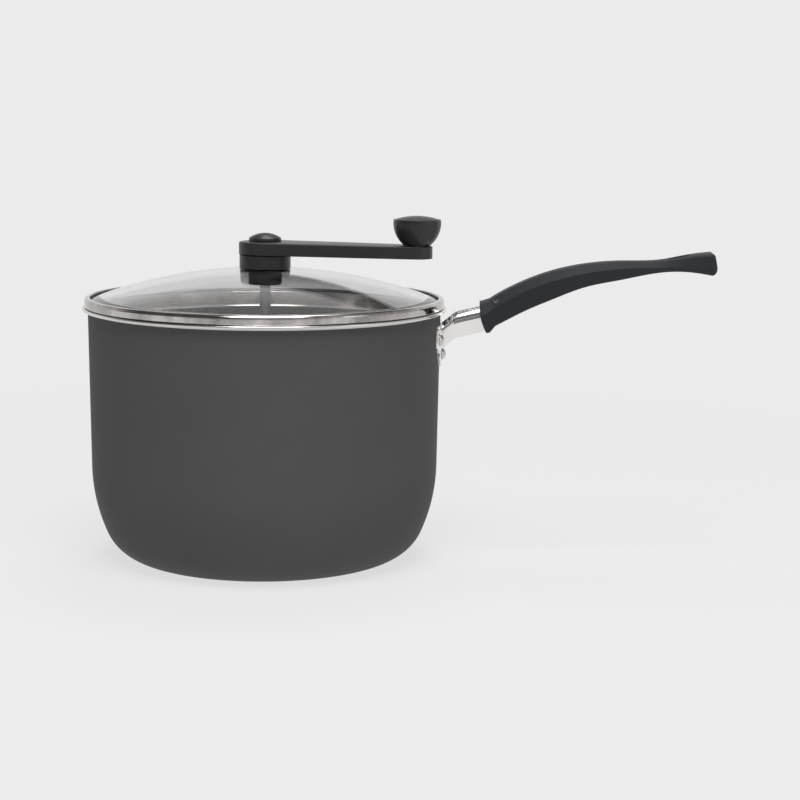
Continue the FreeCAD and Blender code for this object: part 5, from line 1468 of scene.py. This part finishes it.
@dataclass
class Crank:
    """The crank: moulded arm, shaft, cap, and what holds them."""

    finishes: Finishes
    reach: float = 107.6 * MM
    hub: float = 18.0 * MM
    end: float = 10.5 * MM
    bottom: float = 210.9 * MM
    thickness: float = 8.8 * MM
    top_rounding: float = 0.8 * MM
    crown: float = 0.45 * MM
    crown_width: float = 3.2 * MM
    bottom_rounding: float = 0.35 * MM

    @property
    def top(self) -> float:
        """Height of the arm's upper face."""
        return self.bottom + self.thickness

    def half_width(self, x: float, inset: float) -> float:
        """Returns half the arm's width at a distance from its hub, less an inset."""
        lean = (self.hub - self.end) / self.reach
        return (self.hub - inset - lean * x) / math.sqrt(1 - lean * lean)

    def build_arm(self) -> None:
        """Builds the arm: two bosses drawn into one tapered bar, rounded, cored below and bored."""
        release()
        depth, edge = self.thickness - self.crown, self.top - self.crown
        middle = self.bottom + depth / 2
        bpy.ops.mesh.primitive_cylinder_add(vertices=144, radius=self.hub, depth=depth,
                                            location=(0, 0, middle))
        arm = bpy.context.object
        arm.name = arm.data.name = "crank_arm_piece"
        bpy.ops.object.transform_apply(location=True, rotation=True, scale=True)
        bpy.ops.object.mode_set(mode="EDIT")
        bpy.ops.mesh.primitive_cylinder_add(vertices=144, radius=self.end, depth=depth,
                                            location=(self.reach, 0, middle))
        bpy.ops.mesh.select_all(action="SELECT")
        bpy.ops.mesh.convex_hull()
        bpy.ops.mesh.select_all(action="SELECT")
        bpy.ops.mesh.dissolve_limited(angle_limit=math.radians(0.5))
        self.raise_crown(arm, edge)
        for height, rounding in ((self.top, 2 * self.crown), (edge, self.top_rounding),
                                 (self.bottom, self.bottom_rounding)):
            choose_edges(arm, lambda line: all(abs(v.co.z - height) < 1e-6 for v in line.verts))
            bpy.ops.mesh.bevel(offset=rounding, offset_type="OFFSET", segments=5, profile=0.5,
                               affect="EDGES", clamp_overlap=False)
        shut()
        for cutter in self.cutters():
            carve(arm, cutter, Cut.AWAY)
        tidy(arm)
        smooth(arm, 35)
        weigh_normals(arm)
        set_down(arm, Vector(), about("Z", CRANK_ANGLE))
        hand_over(arm, "crank", Slot.BLACK, [self.finishes.black], "crank_arm")

    def raise_crown(self, arm: bpy.types.Object, edge: float) -> None:
        """Insets the upper face and lifts it, so that the arm's top slopes down to its edge.

        Args:
            arm: the arm, in edit mode.
            edge: the upper face's height.
        """
        bpy.ops.mesh.select_mode(type="FACE")
        mesh = bmesh.from_edit_mesh(arm.data)
        for face in mesh.faces:
            face.select_set(face.normal.z > 0.9 and face.calc_center_median().z > edge - 1e-6)
        bmesh.update_edit_mesh(arm.data)
        bpy.ops.mesh.inset(thickness=self.crown_width, depth=0.0)
        bpy.ops.transform.translate(value=(0.0, 0.0, self.crown))

    def bore(self, name: str, x: float, radius: float, low: float, high: float) -> bpy.types.Object:
        """Returns a round cutter at a distance along the arm."""
        line = Outline(closed=False)
        line.to(0.0, low).to(radius, low).to(radius, high).to(0.0, high)
        return lathe(name, line, 72, (x, 0.0))

    def cutters(self) -> list[bpy.types.Object]:
        """Returns what is cut from the arm: its bores, seats and the two cores beside its rib."""
        low, high = self.bottom - 2 * MM, self.top + 2 * MM
        found = [
            self.bore("screw_seat", 0.0, 8.6 * MM, self.top - 4.1 * MM, high),
            self.bore("drive_bore", 0.0, 3.8 * MM, low, high),
            self.bore("pin_bore", self.reach, 3.05 * MM, low, high),
            self.bore("pin_seat", self.reach, 5.6 * MM, low, self.bottom + 3.2 * MM),
        ]
        hub, boss, rib = self.hub + 1.6 * MM, 5.6 * MM + 2.2 * MM, 0.9 * MM
        near = math.sqrt(hub * hub - rib * rib)
        far = self.reach - math.sqrt(boss * boss - rib * rib)
        wide_x, slim_x = hub * math.cos(math.radians(30)), self.reach - boss * math.cos(math.radians(45))
        wide, slim = hub * math.sin(math.radians(30)), boss * math.sin(math.radians(45))
        for side in (-1, 1):
            line = Outline(facet=math.radians(18))
            line.arc(near, side * rib, -side * hub).to(far, side * rib)
            line.arc(slim_x, side * slim, -side * boss)
            line.to(slim_x, side * self.half_width(slim_x, 2.2 * MM), 1.2 * MM)
            line.to(wide_x, side * self.half_width(wide_x, 2.2 * MM), 1.2 * MM).to(wide_x, side * wide)
            found.append(prism("core", line, Plane.PLAN, low, self.top - 2.6 * MM))
        return found

    def build_shaft(self) -> None:
        """Builds the shaft with its ring groove, flats and set screw seat."""
        radius, groove = 3.75 * MM, 3.05 * MM
        line = Outline(closed=False, facet=math.radians(30))
        line.to(0.0, 16.8 * MM).to(radius, 16.8 * MM, 0.5 * MM).to(radius, 189.3 * MM).to(groove, 189.3 * MM)
        line.to(groove, 190.2 * MM).to(radius, 190.2 * MM).to(radius, 215.3 * MM, 0.5 * MM)
        line.to(1.65 * MM, 215.3 * MM).to(1.65 * MM, 201.6 * MM).to(0.0, 201.6 * MM)
        shaft = lathe("crank_shaft_piece", line, 72)
        for side in (-1, 1):
            flat = Outline()
            flat.to(-8 * MM, side * 3.0 * MM).to(8 * MM, side * 3.0 * MM)
            flat.to(8 * MM, side * 6.0 * MM).to(-8 * MM, side * 6.0 * MM)
            carve(shaft, prism("flat", flat, Plane.PLAN, 210.7 * MM, 219.5 * MM), Cut.AWAY)
        tidy(shaft)
        smooth(shaft, 35)
        set_down(shaft, Vector(), about("Z", CRANK_ANGLE))
        hand_over(shaft, "crank", Slot.SHAFT, [self.finishes.shaft], "crank_shaft")

    def build_cap(self) -> None:
        """Builds the mushroom cap over the crank's screw."""
        foot, radius, rim, rise = self.top + 0.05 * MM, 11.1 * MM, 2.2 * MM, 3.5 * MM
        dome = (radius * radius + rise * rise) / (2 * rise)
        line = Outline(closed=False, facet=math.radians(14))
        line.to(0.0, self.top - 1.3 * MM).to(7.35 * MM, self.top - 1.3 * MM)
        line.to(7.35 * MM, self.top - 3.3 * MM).to(8.55 * MM, self.top - 3.3 * MM, 0.3 * MM)
        line.to(8.55 * MM, foot).to(radius, foot, 0.3 * MM).to(radius, foot + rim, 0.25 * MM)
        line.arc(0.0, foot + rim + rise, dome)
        cap = lathe("crank_cap_piece", line, 128)
        smooth(cap, 24)
        hand_over(cap, "crank", Slot.BLACK, [self.finishes.black], "crank_cap")

    def build(self) -> None:
        """Builds and dresses the crank."""
        self.build_arm()
        self.build_shaft()
        self.build_cap()
        dress_node("crank_washer", self.finishes.nylon)
        for name in ("crank_screw", "shaft_ring", "knob_thrust_washer"):
            dress_node(name, self.finishes.fastener)
        dress_node("knob_pin", self.finishes.shaft)
        for name in ("knob_retaining_washer", "knob_nut"):
            dress_node(name, self.finishes.fastener)


@dataclass
class Knob:
    """The bowl-sided knob with its inset cap."""

    finishes: Finishes
    base: float = 220.05 * MM
    belly: float = 235.6 * MM
    floor: float = 235.7 * MM
    rim: float = 237.2 * MM
    rise: float = 2.4 * MM
    foot_radius: float = 9.5 * MM
    belly_radius: float = 16.2 * MM
    rim_radius: float = 15.9 * MM
    side: float = 20.0 * MM
    cap_radius: float = 15.2 * MM

    def build(self) -> None:
        """Builds and dresses the knob and its cap."""
        centre, floor = KNOB_AXIS[:2], self.floor
        line = Outline(facet=math.radians(16))
        line.to(3.05 * MM, self.base).to(self.foot_radius, self.base, 0.35 * MM)
        line.to(self.foot_radius + 0.4 * MM, self.base + 0.6 * MM)
        line.arc(self.belly_radius, self.belly, self.side)
        line.arc(self.rim_radius, self.rim - 0.15 * MM, self.side)
        line.to(self.rim_radius - 0.15 * MM, self.rim)
        line.to(self.cap_radius, self.rim).to(self.cap_radius, floor).to(8.6 * MM, floor)
        line.to(8.6 * MM, floor - 4.4 * MM).to(3.05 * MM, floor - 4.4 * MM)
        knob = lathe("crank_knob_piece", line, 144, centre)
        smooth(knob, 28)
        hand_over(knob, "knob", Slot.BLACK, [self.finishes.knob], "crank_knob")
        inset, rise = self.cap_radius - 0.05 * MM, self.rise
        dome = (inset * inset + rise * rise) / (2 * rise)
        line = Outline(closed=False, facet=math.radians(14))
        line.to(0.0, floor + 0.05 * MM).to(inset, floor + 0.05 * MM).to(inset, self.rim, 0.12 * MM)
        line.arc(0.0, self.rim + rise, dome)
        cap = lathe("knob_cap_piece", line, 144, centre)
        smooth(cap, 28)
        hand_over(cap, "knob", Slot.BLACK, [self.finishes.knob], "knob_cap")


@dataclass
class Agitator:
    """The swept blade over the pan's floor."""

    finishes: Finishes
    pan: Pan
    bottom: float = 3.7 * MM
    height: float = 12.0 * MM
    thickness: float = 1.5 * MM
    bend: float = 150.0 * MM
    straight: float = 12.0 * MM

    def build(self) -> None:
        """Builds and dresses the blade, and dresses its collar and pins."""
        half = self.thickness / 2
        outer, inner = self.bend + half, self.bend - half
        tip = self.pan.base_radius + 24.3 * MM
        run = tip - self.straight
        line = Outline(facet=math.radians(12))
        for sign in (1, -1):
            line.to(sign * self.straight, -sign * half)
            line.arc(sign * tip, sign * (self.bend - math.sqrt(outer * outer - run * run)), outer)
            line.to(sign * tip, sign * (self.bend - math.sqrt(inner * inner - run * run)))
            line.arc(sign * self.straight, sign * half, -inner)
        blade = prism("agitator_blade_piece", line, Plane.PLAN, self.bottom, self.bottom + self.height)
        inset = self.pan.wall + 1.2 * MM
        room = Outline(closed=False)
        room.to(0.0, inset).to(self.pan.base_radius, inset)
        room.arc(*self.pan.heel(inset, self.pan.flank_turn), self.pan.heel_radius - inset)
        room.to(0.0, self.pan.heel(inset, self.pan.flank_turn)[1])
        carve(blade, lathe("room", room, 192), Cut.KEEP)
        hole = Outline(closed=False)
        hole.to(0.0, -8 * MM).to(1.55 * MM, -8 * MM).to(1.55 * MM, 8 * MM).to(0.0, 8 * MM)
        drill = lathe("pin_drill", hole, 48)
        set_down(drill, Vector((0.0, 0.0, self.bottom + self.height / 2)), about("X", 90))
        carve(blade, drill, Cut.AWAY)
        tidy(blade)
        soften(blade, 0.2 * MM, 2, 50)
        smooth(blade, 35)
        set_down(blade, Vector(), about("Z", CRANK_ANGLE))
        hand_over(blade, "crank", Slot.SHAFT, [self.finishes.shaft], "agitator_blade")
        dress_node("agitator_collar", self.finishes.shaft)
        for name in ("agitator_pin", "agitator_set_screw"):
            dress_node(name, self.finishes.fastener)


# ------------------------------------------------------------------ studio


@dataclass
class Studio:
    """A pale floor that runs out of sight, soft lamps and the camera."""

    level: float = 0.831
    floor_tone: float = 0.15
    floor_glow: float = 0.685
    ambient: float = 0.2
    gloom: float = 0.1
    place: tuple[float, float, float] = (0.14634, -1.39233, 0.323885)
    sight: tuple[float, float, float] = (-0.0372043, 0.98778029, -0.15134708)
    roll: float = math.radians(0.552)
    lens: float = 2030.176 / 800 * 36

    def build(self) -> None:
        """Builds the floor, the world, the lamps and the camera."""
        self.build_floor()
        self.build_world()
        for name, place, size, power, aim in (
            ("key", (0.13, -1.05, 2.05), 1.4, 38.0, (0.0, 0.0, 0.12)),
            ("right", (1.8, -0.9, 0.7), 0.6, 2.0, (0.05, 0.0, 0.15)),
            ("top", (0.1, 0.85, 2.3), 0.9, 16.0, (0.05, 0.0, 0.15)),
        ):
            self.lamp(name, Vector(place), size, power, Vector(aim))
        self.camera()
        view = bpy.context.scene.view_settings
        view.view_transform = "Standard"

    def build_floor(self) -> None:
        """Builds the floor: pale, with the object's soft shadow, and clear from below."""
        release()
        bpy.ops.mesh.primitive_plane_add(size=24.0, location=(0, 0, -0.0002))
        floor = bpy.context.object
        floor.name = "floor"
        bpy.ops.object.transform_apply(location=True, rotation=True, scale=True)
        material = bpy.data.materials.new("pale_floor")
        material.use_nodes = True
        material.cycles.emission_sampling = "NONE"
        graph = Graph(material.node_tree)
        place = graph.add("ShaderNodeTexCoord").outputs["Object"]
        away = graph.add("ShaderNodeVectorMath", {0: place}, operation="LENGTH").outputs["Value"]
        shade = graph.add("ShaderNodeBsdfDiffuse", {"Color": (self.floor_tone,) * 3 + (1.0,)})
        glow = graph.add("ShaderNodeEmission", {"Strength": self.floor_glow})
        near = graph.add("ShaderNodeAddShader", {0: shade.outputs[0], 1: glow.outputs[0]})
        far = graph.add("ShaderNodeEmission", {"Strength": self.level})
        ground = graph.add("ShaderNodeMixShader", {
            0: graph.spread(away, 0.0, 1.0, 0.3, 0.9), 1: near.outputs[0], 2: far.outputs[0]})
        clear = graph.add("ShaderNodeBsdfTransparent")
        side = graph.add("ShaderNodeNewGeometry")
        mixed = graph.add("ShaderNodeMixShader", {
            0: side.outputs["Backfacing"], 1: ground.outputs[0], 2: clear.outputs[0]})
        graph.add("ShaderNodeOutputMaterial", {"Surface": mixed.outputs[0]})
        floor.data.materials.append(material)

    def build_world(self) -> None:
        """Builds the world: pale to the camera and to glass, dim to the rest but for a pale horizon behind."""
        world = bpy.data.worlds.new("soft_room")
        bpy.context.scene.world = world
        world.use_nodes = True
        world.cycles.sampling_method = "NONE"
        graph = Graph(world.node_tree)
        way = graph.add("ShaderNodeTexCoord").outputs["Generated"]
        parts = graph.add("ShaderNodeSeparateXYZ", {0: way})
        low = graph.spread(parts.outputs[2], 0.74, 0.0, 0.36, 0.66)
        behind = graph.spread(parts.outputs[1], 0.0, 1.0, 0.0, 0.5)
        right = graph.spread(parts.outputs[0], 0.0, 0.4, 0.15, 0.8)
        path = graph.add("ShaderNodeLightPath")
        gloss = graph.math("MULTIPLY", path.outputs["Is Glossy Ray"],
                           graph.math("MAXIMUM", graph.math("MULTIPLY", low, behind), right))
        dim = graph.math("SUBTRACT", self.ambient,
                         graph.math("MULTIPLY", path.outputs["Is Glossy Ray"], self.ambient - self.gloom))
        plain = graph.math("MAXIMUM", path.outputs["Is Camera Ray"], path.outputs["Is Transmission Ray"])
        strength = graph.math("MAXIMUM", graph.math("ADD", dim, gloss), graph.math("MULTIPLY", plain, self.level))
        room = graph.add("ShaderNodeBackground", {"Color": (1, 1, 1, 1), "Strength": strength})
        graph.add("ShaderNodeOutputWorld", {"Surface": room.outputs[0]})

    @staticmethod
    def lamp(name: str, place: Vector, size: float, power: float, aim: Vector) -> None:
        """Adds a square soft lamp.

        Args:
            name: the lamp's name.
            place: where it stands.
            size: its side.
            power: its power in watts.
            aim: the point it faces.
        """
        data = bpy.data.lights.new(name, "AREA")
        data.shape = "SQUARE"
        data.size = size
        data.energy = power
        lamp = bpy.data.objects.new(name, data)
        bpy.context.scene.collection.objects.link(lamp)
        lamp.matrix_world = Matrix.Translation(place) @ (place - aim).to_track_quat("Z", "Y").to_matrix().to_4x4()

    def camera(self) -> None:
        """Adds the camera."""
        data = bpy.data.cameras.new("camera")
        data.lens = self.lens
        data.sensor_width = 36.0
        data.clip_start, data.clip_end = 0.05, 60.0
        camera = bpy.data.objects.new("camera", data)
        bpy.context.scene.collection.objects.link(camera)
        sight = Vector(self.sight).normalized()
        right = Vector((sight.y, -sight.x, 0.0)).normalized()
        up = right.cross(sight)
        turned_right = right * math.cos(self.roll) + up * math.sin(self.roll)
        turned_up = up * math.cos(self.roll) - right * math.sin(self.roll)
        turn = Matrix((turned_right, turned_up, -sight)).transposed().to_4x4()
        camera.matrix_world = Matrix.Translation(self.place) @ turn
        bpy.context.scene.camera = camera


def main() -> None:
    """Builds the popper and its studio, and keeps the sizes."""
    logging.basicConfig(level=logging.INFO, format="%(message)s")
    finishes = Finishes()
    pan = Pan(finishes)
    pan.build()
    Rivets(finishes, pan).build()
    bracket = Bracket(finishes, pan)
    bracket.build()
    Grip(finishes, bracket).build()
    Lid(finishes, pan).build()
    Crank(finishes).build()
    Knob(finishes).build()
    Agitator(finishes, pan).build()
    Studio().build()


if __name__ == "__main__":
    main()
